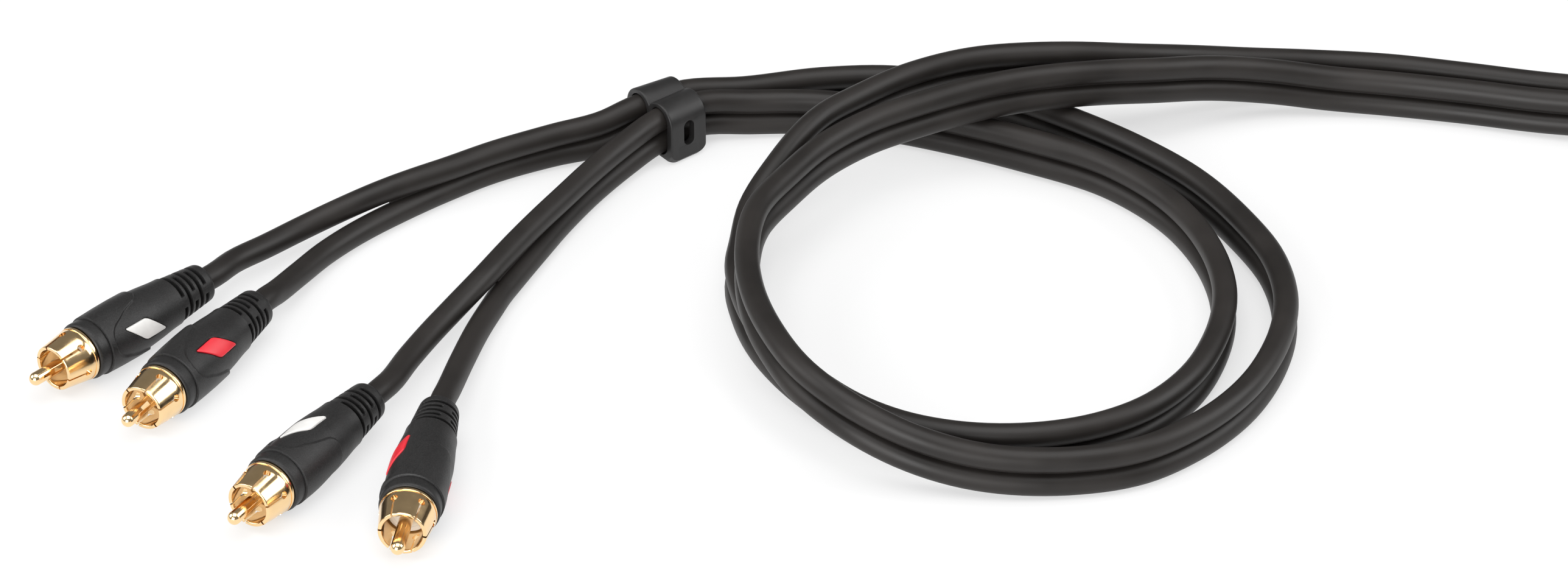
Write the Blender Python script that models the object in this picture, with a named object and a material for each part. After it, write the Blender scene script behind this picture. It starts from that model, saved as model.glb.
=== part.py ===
"""Stereo phono lead: four moulded plugs on figure-8 twin jacket, a two-arch keeper and a tied bight."""
import math

import bmesh
import bpy
import numpy as np
from mathutils import Matrix

MM = 0.001


def mm(*values):
    """Millimetres to metres."""
    return tuple(value * MM for value in values)


# Shared fits
FIT_GAP = 0.3 * MM
FLOOR_GAP = 0.02 * MM
OVERRUN = 1.0 * MM
SHARP_ANGLE = math.radians(35.0)

# Middle of the plugs and the keeper in the layout the routes are written in
ORIGIN = mm(-94.781, -19.178)

# Jacket
LOBE_RADIUS = 2.9 * MM
LOBE_SPACING = 6.1 * MM
TWIN_HEIGHT = LOBE_SPACING + 2.0 * LOBE_RADIUS
JACKET_RESOLUTION = 3
TWIN_STEP = 26.0 * MM
LEG_STEP = 15.0 * MM
ROUTE_SAMPLES = 40

# Strain relief, stations run from its rear end toward the contact tip
RELIEF_LENGTH = 10.8 * MM
RELIEF_REAR_RADIUS = 4.6 * MM
RELIEF_FRONT_RADIUS = 5.7 * MM
RELIEF_ROUND = 0.5 * MM
RELIEF_COLLAR = 2.3 * MM
RELIEF_ROWS = 5
RELIEF_SLOT_WIDTH = 0.85 * MM
RELIEF_SLOT_DEPTH = 1.1 * MM
RELIEF_SLOT_ARC = math.radians(130.0)
RELIEF_SLOT_STEPS = 9

# Moulded body
BODY_SIDES = 24
BODY_LENGTH = 38.3 * MM
BODY_RADIUS = 7.0 * MM
COLLAR_LENGTH = 3.5 * MM
COLLAR_START = BODY_LENGTH - COLLAR_LENGTH
SHOULDER_LENGTH = 0.4 * MM
BODY_SHARES = (0.0, 0.1, 0.25, 0.42, 0.61, 0.8, 1.0)
BODY_SWELL = (0.85, 0.874, 0.936, 0.989, 1.0, 0.993, 0.971)
FRONT_RADIUS = 6.9 * MM
FRONT_ROUND = 0.6 * MM
SKIN_HEIGHT = 0.3 * MM
SKIN_LENGTH = 13.8 * MM
SKIN_SHARES = (0.0, 0.02, 0.11, 0.43, 0.58, 0.76, 0.88, 0.96)
SKIN_SPREAD = (0.2, 0.36, 0.5, 0.66, 0.76, 0.84, 0.94, 1.14)
MARKER_SETBACK = 10.8 * MM
MARKER_STATION = COLLAR_START - MARKER_SETBACK
MARKER_LENGTH = 6.5 * MM
MARKER_WIDTH = 4.9 * MM
MARKER_SLANT = 3.1 * MM
MARKER_ROUND = 0.6 * MM
MARKER_DEPTH = 0.8 * MM
MARKER_SEAT = BODY_RADIUS - MARKER_DEPTH
MARKER_RISE = 0.25 * MM

# Ground shell
SHELL_SIDES = 36
SHELL_WALL = 0.9 * MM
COLLAR_LIP = 1.0 * MM
SKIRT_RADIUS = FRONT_RADIUS - COLLAR_LIP
SKIRT_LENGTH = 3.0 * MM
SHELL_BASE = BODY_LENGTH + FIT_GAP
SHELL_BASE_RADIUS = 6.45 * MM
BAND_LENGTH = 0.9 * MM
GROOVE_WIDTH = 0.35 * MM
GROOVE_DEPTH = 0.22 * MM
CONE_LENGTH = 8.4 * MM
MOUTH_STATION = SHELL_BASE + CONE_LENGTH
MOUTH_RADIUS = 5.4 * MM
MOUTH_ROUND = 0.15 * MM
PETALS = 6
PETAL_SLOT_WIDTH = 0.45 * MM
PETAL_HOLE_RADIUS = 0.85 * MM
PETAL_HOLE_DEPTH = 5.3 * MM
PETAL_HOLE_STEPS = 10

# Centre contact and the disc that holds it
PIN_SIDES = 18
PIN_RADIUS = 1.55 * MM
PIN_REACH = 6.8 * MM
PIN_TIP = MOUTH_STATION + PIN_REACH
PIN_TIP_STEPS = 4
PIN_TAIL_RADIUS = 1.1 * MM
PIN_TAIL_LENGTH = 2.6 * MM
PIN_SHOULDER_RADIUS = 2.4 * MM
PIN_SHOULDER_LENGTH = 0.6 * MM
PIN_SLOT_NOSE = 1.3 * MM
PIN_SLOT_LENGTH = 6.9 * MM
PIN_SLOT_WIDTHS = mm(1.1, 0.5)
DISC_STAND = 0.9 * MM
DISC_FRONT = SHELL_BASE + DISC_STAND
SOCKET_FLOOR = SHELL_BASE - SKIRT_LENGTH - FIT_GAP

# Keeper, with two arches that draw together toward its right end
KEEPER_PLACE = mm(-28.5, 66.0)
KEEPER_YAW = math.radians(37.0)
KEEPER_LENGTH = 11.0 * MM
KEEPER_WALL = 1.95 * MM
KEEPER_ROOF = 1.2 * MM
KEEPER_FLOOR = 1.4 * MM
KEEPER_LEFT_SPACING = 8.4 * MM
KEEPER_RIGHT_SPACING = 6.9 * MM
KEEPER_ROUND = 0.4 * MM
KEEPER_FOOT = 1.0 * MM
KEEPER_ARC_STEPS = 9
KEEPER_LEAD = 7.0 * MM
CHANNEL_RADIUS = LOBE_RADIUS + 0.35 * MM
CHANNEL_LIFT = KEEPER_FLOOR + CHANNEL_RADIUS - LOBE_RADIUS
WINDOW_WIDTH = 3.0 * MM
WINDOW_HEIGHT = 6.7 * MM
WINDOW_MIDDLE = 7.6 * MM

# Tie and bight, past the right end of the routes
REST_YAW = math.radians(-14.0)
TIE_PLACE = mm(207.5, 69.6)
TIE_LENGTH = 4.5 * MM
TIE_THICKNESS = 0.8 * MM
TIE_ROUND = 2.6 * MM
TIED_SPACING = 7.6 * MM
TIE_LEAD = 6.5 * MM
TIE_LIFT = TIE_THICKNESS + FIT_GAP + FLOOR_GAP
BIGHT_CENTRE = 76.0 * MM
BIGHT_RADIUS = 35.0 * MM
BIGHT_STEPS = 22
CORNER_STEPS = 3

# Plugs: mouth of the ground shell, yaw and roll in degrees, which marker and which lobe
PLUGS = (
    ("plug_1", (-165.5, -43.7), -130.0, 19.0, "white_marker"),
    ("plug_2", (-143.8, -59.6), -118.2, 44.0, "red_marker"),
    ("plug_3", (-116.6, -97.0), -119.9, -75.0, "white_marker"),
    ("plug_4", (-82.5, -107.6), -96.6, -36.0, "red_marker"),
)

# Twin routes in millimetres: x, y, height of the underside, lean in degrees
ROUTE_A_LEFT = (
    (-94.0, 29.6, 0.1, 25.0), (-82.0, 38.4, 0.1, 8.0), (-70.0, 47.1, 0.1, 0.0), (-56.0, 55.0, 0.1, 0.0),
    (-44.0, 61.2, 0.6, 0.0),
)
ROUTE_A_RIGHT = (
    (-10.0, 76.6, 0.6, 0.0), (10.0, 82.0, 0.1, 0.0), (26.0, 82.8, 0.1, 0.0), (42.0, 79.3, 0.1, 0.0),
    (57.0, 72.0, 0.1, 0.0), (71.0, 62.0, 0.1, 0.0), (85.0, 50.0, 0.1, 0.0), (98.0, 35.3, 0.1, 0.0),
    (108.0, 17.2, 0.1, 0.0), (114.2, 0.0, 0.1, 0.0), (115.7, -18.0, 0.1, 0.0), (111.0, -39.5, 0.1, 0.0),
    (102.5, -56.5, 0.1, 0.0), (91.4, -69.3, 0.1, 0.0), (79.0, -78.2, 0.1, 0.0), (60.0, -82.5, 0.1, 0.0),
    (39.0, -82.0, 2.0, 0.0), (27.0, -79.7, 5.0, 0.0), (16.0, -75.0, 8.5, 0.0), (5.0, -65.2, 11.5, 0.0),
    (-3.0, -48.8, 12.4, 0.0), (-7.5, -30.8, 12.4, 0.0), (-8.5, -15.0, 12.4, 0.0), (-6.0, 3.0, 12.4, 0.0),
    (1.0, 17.0, 12.4, 0.0), (10.0, 31.0, 12.4, 0.0), (20.0, 41.0, 12.4, 0.0), (32.0, 49.0, 12.4, 0.0),
    (55.0, 60.0, 12.4, 0.0), (76.0, 65.0, 12.0, 0.0), (90.0, 69.5, 10.0, 0.0), (105.0, 75.7, 7.0, 0.0),
    (120.0, 80.0, 3.5, 0.0), (135.0, 80.8, 1.0, 0.0), (150.0, 79.5, 0.2, 0.0), (168.0, 75.8, 0.2, 0.0),
    (186.0, 70.8, 0.6, 0.0),
)
ROUTE_B_LEFT = (
    (-66.9, -4.8, 0.1, 23.0), (-60.2, 11.2, 0.1, 15.0), (-53.2, 24.8, 0.1, 6.0), (-44.3, 40.2, 0.1, 0.0),
    (-37.6, 50.4, 0.8, 0.0),
)
ROUTE_B_RIGHT = (
    (-7.5, 70.6, 0.4, 0.0), (4.0, 71.3, 0.1, 0.0), (25.0, 67.6, 0.1, 0.0), (40.0, 62.0, 0.1, 0.0),
    (57.0, 54.0, 0.1, 0.0), (78.0, 41.3, 0.1, 0.0), (91.7, 24.8, 0.1, 0.0), (99.4, 6.0, 0.1, 0.0),
    (101.8, -15.0, 0.1, 0.0), (97.9, -35.0, 0.1, 0.0), (90.5, -51.0, 0.1, 0.0), (80.0, -62.8, 0.1, 0.0),
    (67.0, -70.0, 0.1, 0.0), (53.0, -73.0, 0.1, 0.0), (40.0, -72.5, 0.1, 0.0), (27.0, -68.5, 0.1, 0.0),
    (17.0, -62.0, 0.1, 0.0), (8.0, -52.5, 0.1, 0.0), (0.0, -41.0, 0.1, 0.0), (-6.0, -28.5, 0.1, 0.0),
    (-9.5, -15.5, 0.1, 0.0), (-11.0, -3.0, 0.1, 0.0), (-10.0, 6.5, 0.4, 0.0), (-8.0, 17.4, 3.0, 0.0),
    (-2.0, 28.4, 7.5, 0.0), (9.0, 44.0, 12.2, 0.0), (18.0, 53.0, 12.4, 0.0), (30.0, 63.0, 12.4, 0.0),
    (47.0, 71.0, 12.4, 0.0), (60.0, 73.0, 12.4, 0.0), (70.0, 74.0, 12.0, 0.0), (85.0, 77.0, 9.7, 0.0),
    (100.0, 82.2, 6.2, 0.0), (115.0, 86.5, 3.0, 0.0), (130.0, 89.0, 1.0, 0.0), (150.0, 88.2, 0.2, 0.0),
    (168.0, 84.2, 0.2, 0.0), (186.0, 79.0, 0.6, 0.0),
)

# Single legs between a plug and its lobe, centre line in millimetres
LEG_ROUTES = (
    ((-129.0, 2.1, 6.6), (-121.8, 10.4, 5.8), (-114.0, 17.9, 6.0), (-107.1, 22.8, 7.0)),
    ((-120.0, -11.0, 6.2), (-114.5, 1.0, 4.3), (-108.5, 11.0, 3.4), (-102.2, 19.3, 3.1)),
    ((-90.4, -48.3, 6.5), (-85.9, -36.5, 5.6), (-81.3, -25.8, 5.5), (-76.4, -16.4, 6.1)),
    ((-76.0, -51.2, 6.4), (-73.8, -36.3, 4.8), (-70.9, -21.9, 3.5)),
)
LEG_LEAD = 4.0 * MM

MATERIALS = {
    "jacket": ((0.012, 0.012, 0.013), 0.0, 0.42),
    "black_moulding": ((0.014, 0.014, 0.015), 0.0, 0.55),
    "contact_gold": ((0.93, 0.70, 0.34), 1.0, 0.18),
    "insulator": ((0.82, 0.80, 0.75), 0.0, 0.5),
    "white_marker": ((0.78, 0.76, 0.72), 0.0, 0.35),
    "red_marker": ((0.58, 0.012, 0.025), 0.0, 0.35),
    "tie_strap": ((0.02, 0.02, 0.02), 0.0, 0.6),
}


def clear_scene():
    """Remove whatever the start file holds."""
    for existing in list(bpy.data.objects):
        bpy.data.objects.remove(existing, do_unlink=True)


def make_materials():
    """One principled material for each slot."""
    made = {}
    for name, (colour, metallic, roughness) in MATERIALS.items():
        material = bpy.data.materials.new(name)
        material.use_nodes = True
        shader = material.node_tree.nodes["Principled BSDF"]
        shader.inputs["Base Color"].default_value = (*colour, 1.0)
        shader.inputs["Metallic"].default_value = metallic
        shader.inputs["Roughness"].default_value = roughness
        made[name] = material
    return made


def finish(work, name):
    """Turn the faces outward and store the work mesh."""
    bmesh.ops.recalc_face_normals(work, faces=work.faces[:])
    mesh = bpy.data.meshes.new(name)
    work.to_mesh(mesh)
    work.free()
    return mesh


def loft(name, rings, closed=False, capped=True):
    """Join point rings of equal count, a ring of one point being a pole."""
    work = bmesh.new()
    loops = [[work.verts.new(point) for point in ring] for ring in rings]
    pairs = list(zip(loops, loops[1:]))
    if closed:
        pairs.append((loops[-1], loops[0]))
    sides = max(len(loop) for loop in loops)
    for first, second in pairs:
        for index in range(sides):
            after = (index + 1) % sides
            corners = []
            for loop, spot in ((first, index), (first, after), (second, after), (second, index)):
                corner = loop[spot % len(loop)]
                if corner not in corners:
                    corners.append(corner)
            work.faces.new(corners)
    if capped and not closed:
        for loop in (loops[0], loops[-1]):
            if len(loop) > 1:
                work.faces.new(loop)
    return finish(work, name)


def turned(name, profile, sides, closed=False):
    """Turn a (station, radius) outline about the plug's axis."""
    angles = [2.0 * math.pi * (index + 0.5) / sides for index in range(sides)]
    rings = []
    for station, radius in profile:
        if radius == 0.0:
            rings.append([(station, 0.0, 0.0)])
        else:
            rings.append([(station, radius * math.sin(a), radius * math.cos(a)) for a in angles])
    return loft(name, rings, closed=closed)


def prism(name, outline, low, high, placed):
    """Carry a flat outline between two levels; placed turns (a, b, level) into a point."""
    return loft(name, [[placed(a, b, level) for a, b in outline] for level in (low, high)])


def merged(name, meshes):
    """Put separate closed meshes into one cutter mesh."""
    work = bmesh.new()
    for mesh in meshes:
        work.from_mesh(mesh)
    return finish(work, name)


def spun(mesh, angle):
    """Copy of a mesh turned about the plug's axis."""
    copy = mesh.copy()
    copy.transform(Matrix.Rotation(angle, 4, "X"))
    return copy


def combined(base, tool, operation):
    """Boolean of two meshes, worked out once and kept as a plain mesh."""
    target = bpy.data.objects.new("work_target", base)
    cutter = bpy.data.objects.new("work_cutter", tool)
    for helper in (target, cutter):
        bpy.context.scene.collection.objects.link(helper)
        helper.hide_render = True
        helper.display_type = "WIRE"
    step = target.modifiers.new("step", "BOOLEAN")
    step.operation = operation
    step.solver = "EXACT"
    step.object = cutter
    depsgraph = bpy.context.evaluated_depsgraph_get()
    result = bpy.data.meshes.new_from_object(target.evaluated_get(depsgraph))
    result.name = base.name
    for helper in (target, cutter):
        bpy.data.objects.remove(helper, do_unlink=True)
    return result


def rounded(corners, radius, steps):
    """Outline with each corner swapped for a short arc."""
    outline = []
    count = len(corners)
    for index in range(count):
        corner = np.array(corners[index])
        back = np.array(corners[index - 1]) - corner
        ahead = np.array(corners[(index + 1) % count]) - corner
        back /= np.linalg.norm(back)
        ahead /= np.linalg.norm(ahead)
        half = 0.5 * math.acos(float(np.clip(back @ ahead, -1.0, 1.0)))
        centre = corner + (back + ahead) / np.linalg.norm(back + ahead) * (radius / math.sin(half))
        start = corner + back * (radius / math.tan(half)) - centre
        end = corner + ahead * (radius / math.tan(half)) - centre
        for step in range(steps + 1):
            share = step / steps
            spoke = start * (1.0 - share) + end * share
            outline.append(tuple(centre + spoke / np.linalg.norm(spoke) * radius))
    return outline


def body_profile():
    """Stations and radii of the plain body between the relief and the front collar."""
    start = RELIEF_LENGTH + SHOULDER_LENGTH
    return [(start + share * (COLLAR_START - start), swell * BODY_RADIUS)
            for share, swell in zip(BODY_SHARES, BODY_SWELL)]


def body_radius(station):
    """Radius of the plain body under the raised skin."""
    stations, radii = zip(*body_profile())
    return float(np.interp(station, stations, radii))


def relief_radius(station):
    """Radius of the straight strain relief."""
    return float(np.interp(station, (0.0, RELIEF_LENGTH), (RELIEF_REAR_RADIUS, RELIEF_FRONT_RADIUS)))


def relief_cutter():
    """Two arc slots in each row, the rows turned by a quarter one after the other."""
    bars = []
    pitch = (RELIEF_LENGTH - RELIEF_COLLAR - RELIEF_SLOT_WIDTH) / (RELIEF_ROWS - 1)
    for row in range(RELIEF_ROWS):
        rear = RELIEF_COLLAR + row * pitch
        front = rear + RELIEF_SLOT_WIDTH
        inner = relief_radius(0.5 * (rear + front)) - RELIEF_SLOT_DEPTH
        outer = RELIEF_FRONT_RADIUS + OVERRUN
        section = ((rear, inner), (front, inner), (front, outer), (rear, outer))
        for half in (0.0, 1.0):
            middle = math.pi * half + 0.5 * math.pi * (row % 2)
            turns = np.linspace(-0.5, 0.5, RELIEF_SLOT_STEPS) * RELIEF_SLOT_ARC + middle
            rings = [[(x, r * math.sin(a), r * math.cos(a)) for x, r in section] for a in turns]
            bars.append(loft("slot", rings))
    return merged("relief_slots", bars)


def skin_mesh():
    """Raised skin: a thin turned sleeve cut to two tongues that join toward the front."""
    start = COLLAR_START - SKIN_LENGTH
    along = [start - OVERRUN] + [x for x, radius in body_profile() if x > start + OVERRUN]
    outer = [(x, body_radius(x) + SKIN_HEIGHT) for x in along]
    inner = [(x, body_radius(x) - OVERRUN) for x in (along[-1], along[0])]
    sleeve = turned("skin", outer + inner, BODY_SIDES, closed=True)
    edge = [(start + share * SKIN_LENGTH, spread * BODY_RADIUS)
            for share, spread in zip(SKIN_SHARES, SKIN_SPREAD)]
    edge.append((COLLAR_START + OVERRUN, edge[-1][1]))
    outline = edge + [(x, -width) for x, width in reversed(edge)]
    reach = FRONT_RADIUS + 2.0 * OVERRUN
    tongue = prism("tongue", outline, -reach, reach, lambda a, b, level: (a, b, level))
    return combined(sleeve, tongue, "INTERSECT")


def marker_outline(grow):
    """Slanted window outline in the side view, grown evenly by a gap."""
    slope = MARKER_SLANT / MARKER_WIDTH
    half_width = 0.5 * MARKER_WIDTH + grow
    half_length = 0.5 * MARKER_LENGTH + grow * math.hypot(1.0, slope)
    shift = slope * half_width
    low = MARKER_STATION - shift
    high = MARKER_STATION + shift
    corners = (
        (low - half_length, -half_width), (low + half_length, -half_width),
        (high + half_length, half_width), (high - half_length, half_width),
    )
    return rounded(corners, MARKER_ROUND + grow, CORNER_STEPS)


def marker_mesh(side):
    """Coloured inlay on one side of the body, flat behind and curved with the body in front."""
    reach = FRONT_RADIUS + 2.0 * OVERRUN
    block = prism("marker", marker_outline(0.0), side * MARKER_SEAT, side * reach,
                  lambda a, b, level: (a, level, b))
    ends = (MARKER_STATION - MARKER_LENGTH, MARKER_STATION + MARKER_LENGTH)
    inside = [x for x, radius in body_profile() if ends[0] < x < ends[1]]
    crown = [(x, body_radius(x) + MARKER_RISE) for x in (ends[0], *inside, ends[1])]
    return combined(block, turned("crown", [(ends[0], 0.0), *crown, (ends[1], 0.0)], BODY_SIDES), "INTERSECT")


def housing_mesh():
    """Relief, body, front collar and the socket for the contacts in one turned piece, then the cuts."""
    rear = [(0.0, 0.0), (0.0, RELIEF_REAR_RADIUS - RELIEF_ROUND)]
    rear += [(0.3 * RELIEF_ROUND, RELIEF_REAR_RADIUS - 0.3 * RELIEF_ROUND)]
    rear += [(RELIEF_ROUND, relief_radius(RELIEF_ROUND)), (RELIEF_LENGTH + FIT_GAP, RELIEF_FRONT_RADIUS)]
    body = body_profile()
    front = [(BODY_LENGTH - 2.0 * FRONT_ROUND, FRONT_RADIUS)]
    front += [(BODY_LENGTH - 0.3 * FRONT_ROUND, FRONT_RADIUS - 0.3 * FRONT_ROUND)]
    front += [(BODY_LENGTH, FRONT_RADIUS - 0.9 * FRONT_ROUND), (BODY_LENGTH, SKIRT_RADIUS + FIT_GAP)]
    tail = PIN_TAIL_RADIUS + FIT_GAP
    depth = SOCKET_FLOOR - PIN_TAIL_LENGTH
    socket = [(SOCKET_FLOOR, SKIRT_RADIUS + FIT_GAP), (SOCKET_FLOOR, tail), (depth, tail), (depth, 0.0)]
    mesh = turned("housing", rear + body + front + socket, BODY_SIDES)
    mesh = combined(mesh, skin_mesh(), "UNION")
    mesh = combined(mesh, relief_cutter(), "DIFFERENCE")
    reach = FRONT_RADIUS + 2.0 * OVERRUN
    for side in (-1.0, 1.0):
        pocket = prism("pocket", marker_outline(FIT_GAP), side * (MARKER_SEAT - FIT_GAP), side * reach,
                       lambda a, b, level: (a, level, b))
        mesh = combined(mesh, pocket, "DIFFERENCE")
    return mesh


def shell_mesh():
    """Spring shell: skirt, band with a groove, cone and rounded mouth, split by six keyhole slots."""
    groove = SHELL_BASE + BAND_LENGTH
    bore = SKIRT_RADIUS - SHELL_WALL
    mouth_bore = MOUTH_RADIUS - SHELL_WALL
    skirt_end = SHELL_BASE - SKIRT_LENGTH
    profile = [
        (skirt_end, bore), (skirt_end, SKIRT_RADIUS), (SHELL_BASE, SKIRT_RADIUS),
        (SHELL_BASE, SHELL_BASE_RADIUS - MOUTH_ROUND), (SHELL_BASE + MOUTH_ROUND, SHELL_BASE_RADIUS),
        (groove, SHELL_BASE_RADIUS), (groove, SHELL_BASE_RADIUS - GROOVE_DEPTH),
        (groove + GROOVE_WIDTH, SHELL_BASE_RADIUS - GROOVE_DEPTH),
        (groove + GROOVE_WIDTH, SHELL_BASE_RADIUS - MOUTH_ROUND),
        (MOUTH_STATION - 2.0 * MOUTH_ROUND, MOUTH_RADIUS), (MOUTH_STATION, MOUTH_RADIUS - MOUTH_ROUND),
        (MOUTH_STATION, mouth_bore + MOUTH_ROUND), (MOUTH_STATION - 2.0 * MOUTH_ROUND, mouth_bore),
        (DISC_FRONT + GROOVE_WIDTH, bore),
    ]
    mesh = turned("shell", profile, SHELL_SIDES, closed=True)
    hole = MOUTH_STATION - PETAL_HOLE_DEPTH
    neck = math.asin(0.5 * PETAL_SLOT_WIDTH / PETAL_HOLE_RADIUS)
    turns = np.linspace(neck, 2.0 * math.pi - neck, PETAL_HOLE_STEPS)
    keyhole = [(hole + PETAL_HOLE_RADIUS * math.cos(a), PETAL_HOLE_RADIUS * math.sin(a)) for a in turns]
    keyhole += [(MOUTH_STATION + OVERRUN, side * PETAL_SLOT_WIDTH) for side in (-0.5, 0.5)]
    reach = (mouth_bore - OVERRUN, SHELL_BASE_RADIUS + OVERRUN)
    slot = prism("keyhole", keyhole, *reach, lambda a, b, level: (a, b, level))
    slots = [spun(slot, 2.0 * math.pi * index / PETALS) for index in range(PETALS)]
    return combined(mesh, merged("keyholes", slots), "DIFFERENCE")


def pin_mesh():
    """Round-nosed contact with a shoulder behind the disc, a tail in the housing and a tapered slot."""
    shoulder = SOCKET_FLOOR + FIT_GAP
    tail = shoulder - PIN_TAIL_LENGTH
    shaft = shoulder + PIN_SHOULDER_LENGTH
    profile = [(tail, 0.0), (tail, PIN_TAIL_RADIUS), (shoulder, PIN_TAIL_RADIUS)]
    profile += [(shoulder, PIN_SHOULDER_RADIUS), (shaft, PIN_SHOULDER_RADIUS), (shaft, PIN_RADIUS)]
    for step in range(PIN_TIP_STEPS):
        turn = 0.5 * math.pi * step / PIN_TIP_STEPS
        profile.append((PIN_TIP - PIN_RADIUS * (1.0 - math.sin(turn)), PIN_RADIUS * math.cos(turn)))
    profile.append((PIN_TIP, 0.0))
    mesh = turned("pin", profile, PIN_SIDES)
    front = PIN_TIP - PIN_SLOT_NOSE
    rear = front - PIN_SLOT_LENGTH
    wide, narrow = PIN_SLOT_WIDTHS
    taper = ((rear, -0.5 * wide), (front, -0.5 * narrow), (front, 0.5 * narrow), (rear, 0.5 * wide))
    reach = PIN_RADIUS + OVERRUN
    slot = prism("slot", taper, -reach, reach, lambda a, b, level: (a, level, b))
    return combined(mesh, slot, "DIFFERENCE")


def disc_mesh():
    """Insulating disc between the shell's bore and the contact."""
    rear = SOCKET_FLOOR + 2.0 * FIT_GAP + PIN_SHOULDER_LENGTH
    outer = SKIRT_RADIUS - SHELL_WALL - FIT_GAP
    inner = PIN_RADIUS + FIT_GAP
    profile = [(rear, inner), (rear, outer), (DISC_FRONT - MOUTH_ROUND, outer)]
    profile += [(DISC_FRONT, outer - MOUTH_ROUND), (DISC_FRONT, inner)]
    return turned("disc", profile, BODY_SIDES, closed=True)


def piece(name, mesh, material, parent=None):
    """Named solid with one material."""
    solid = bpy.data.objects.new(name, mesh.copy())
    solid.data.name = name
    solid.data.materials.clear()
    solid.data.materials.append(material)
    solid.data.shade_smooth()
    solid.data.set_sharp_from_angle(angle=SHARP_ANGLE)
    bpy.context.scene.collection.objects.link(solid)
    solid.parent = parent
    return solid


def plug_matrix(mouth, yaw, roll, lowest):
    """Where a lying plug stands: its axis as high as the body needs to rest on the floor."""
    turn = Matrix.Rotation(math.radians(yaw), 4, "Z") @ Matrix.Rotation(math.radians(roll), 4, "X")
    along = turn.to_3x3().col[0]
    place = (mouth[0] * MM - along[0] * MOUTH_STATION, mouth[1] * MM - along[1] * MOUTH_STATION, lowest)
    return Matrix.Translation(shifted(place)) @ turn


def shifted(point):
    """Layout point moved into the part's own frame."""
    return (point[0] - ORIGIN[0], point[1] - ORIGIN[1], point[2])


def resting_height(meshes, roll):
    """Axis height at which the lowest corner of a rolled plug touches the floor."""
    turn = Matrix.Rotation(math.radians(roll), 3, "X")
    return -min((turn @ vertex.co).z for mesh in meshes for vertex in mesh.vertices)


def smooth_route(points, step, first=0, last=-1):
    """Cubic through the route points, read off at even steps between two of them."""
    route = np.array(points, dtype=float)
    chords = np.linalg.norm(np.diff(route[:, :3], axis=0), axis=1)
    knots = np.concatenate(([0.0], np.cumsum(chords)))
    slopes = np.diff(route, axis=0) / chords[:, None]
    inner = chords[1:, None] * slopes[:-1] + chords[:-1, None] * slopes[1:]
    inner /= (chords[1:] + chords[:-1])[:, None]
    tangents = np.vstack((2.0 * slopes[0] - inner[0], inner, 2.0 * slopes[-1] - inner[-1]))
    fine = np.linspace(0.0, knots[-1], ROUTE_SAMPLES * len(route))
    span = np.clip(np.searchsorted(knots, fine, side="right") - 1, 0, len(chords) - 1)
    width = chords[span][:, None]
    t = ((fine - knots[span]) / chords[span])[:, None]
    dense = (route[span] * (1.0 + 2.0 * t) * (1.0 - t) ** 2 + tangents[span] * width * t * (1.0 - t) ** 2
             + route[span + 1] * t * t * (3.0 - 2.0 * t) + tangents[span + 1] * width * t * t * (t - 1.0))
    run = np.concatenate(([0.0], np.cumsum(np.linalg.norm(np.diff(dense[:, :3], axis=0), axis=1))))
    start, end = np.interp((knots[first], knots[last]), fine, run)
    marks = np.linspace(start, end, max(1, round((end - start) / step)) + 1)
    return np.column_stack([np.interp(marks, run, column) for column in dense.T])


def tube(name, centres, leans, web, material):
    """Jacket as a bevelled line; web is half the spacing of the lobes, lean tips the upper lobe over."""
    curve = bpy.data.curves.new(name, "CURVE")
    curve.dimensions = "3D"
    curve.twist_mode = "Z_UP"
    curve.fill_mode = "FULL"
    curve.bevel_depth = LOBE_RADIUS
    curve.bevel_resolution = JACKET_RESOLUTION
    curve.extrude = web
    curve.use_fill_caps = True
    spline = curve.splines.new("POLY")
    spline.points.add(len(centres) - 1)
    for knot, centre, lean in zip(spline.points, centres, leans):
        knot.co = (*shifted(centre), 1.0)
        knot.tilt = lean
    jacket = bpy.data.objects.new(name, curve)
    curve.materials.append(material)
    bpy.context.scene.collection.objects.link(jacket)
    return jacket


def keeper_point(along, side):
    """Point on a channel's middle line, side +1 for the rear arch."""
    share = 0.5 + along / KEEPER_LENGTH
    spacing = KEEPER_LEFT_SPACING + (KEEPER_RIGHT_SPACING - KEEPER_LEFT_SPACING) * share
    across = 0.5 * side * spacing
    x = KEEPER_PLACE[0] + along * math.cos(KEEPER_YAW) - across * math.sin(KEEPER_YAW)
    y = KEEPER_PLACE[1] + along * math.sin(KEEPER_YAW) + across * math.cos(KEEPER_YAW)
    return x, y


def tie_point(along, side):
    """Point on a run's middle line inside or beyond the tie."""
    across = 0.5 * side * TIED_SPACING
    x = TIE_PLACE[0] + along * math.cos(REST_YAW) - across * math.sin(REST_YAW)
    y = TIE_PLACE[1] + along * math.sin(REST_YAW) + across * math.cos(REST_YAW)
    return x, y


def in_metres(points):
    """Route rows from millimetres and degrees to metres and radians."""
    return [(x * MM, y * MM, base * MM, math.radians(lean)) for x, y, base, lean in points]


def twin_centres(left, right, keeper_side, tie_side):
    """Middle line of one run from its fork, through the keeper, to the bight."""
    guided = [(*keeper_point(at, keeper_side), CHANNEL_LIFT, 0.0) for at in (-KEEPER_LEAD, KEEPER_LEAD)]
    tied = [(*tie_point(at, tie_side), TIE_LIFT, 0.0) for at in (-TIE_LEAD, TIE_LEAD)]
    before = smooth_route(in_metres(left) + guided, TWIN_STEP, last=-2)
    after = smooth_route(guided + in_metres(right) + tied, TWIN_STEP, first=1, last=-2)
    rows = np.vstack((before, after, tied[1]))
    half = 0.5 * LOBE_SPACING
    heights = rows[:, 2] + LOBE_RADIUS + half * np.cos(rows[:, 3])
    return np.column_stack((rows[:, :2], heights)), rows[:, 3]


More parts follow.
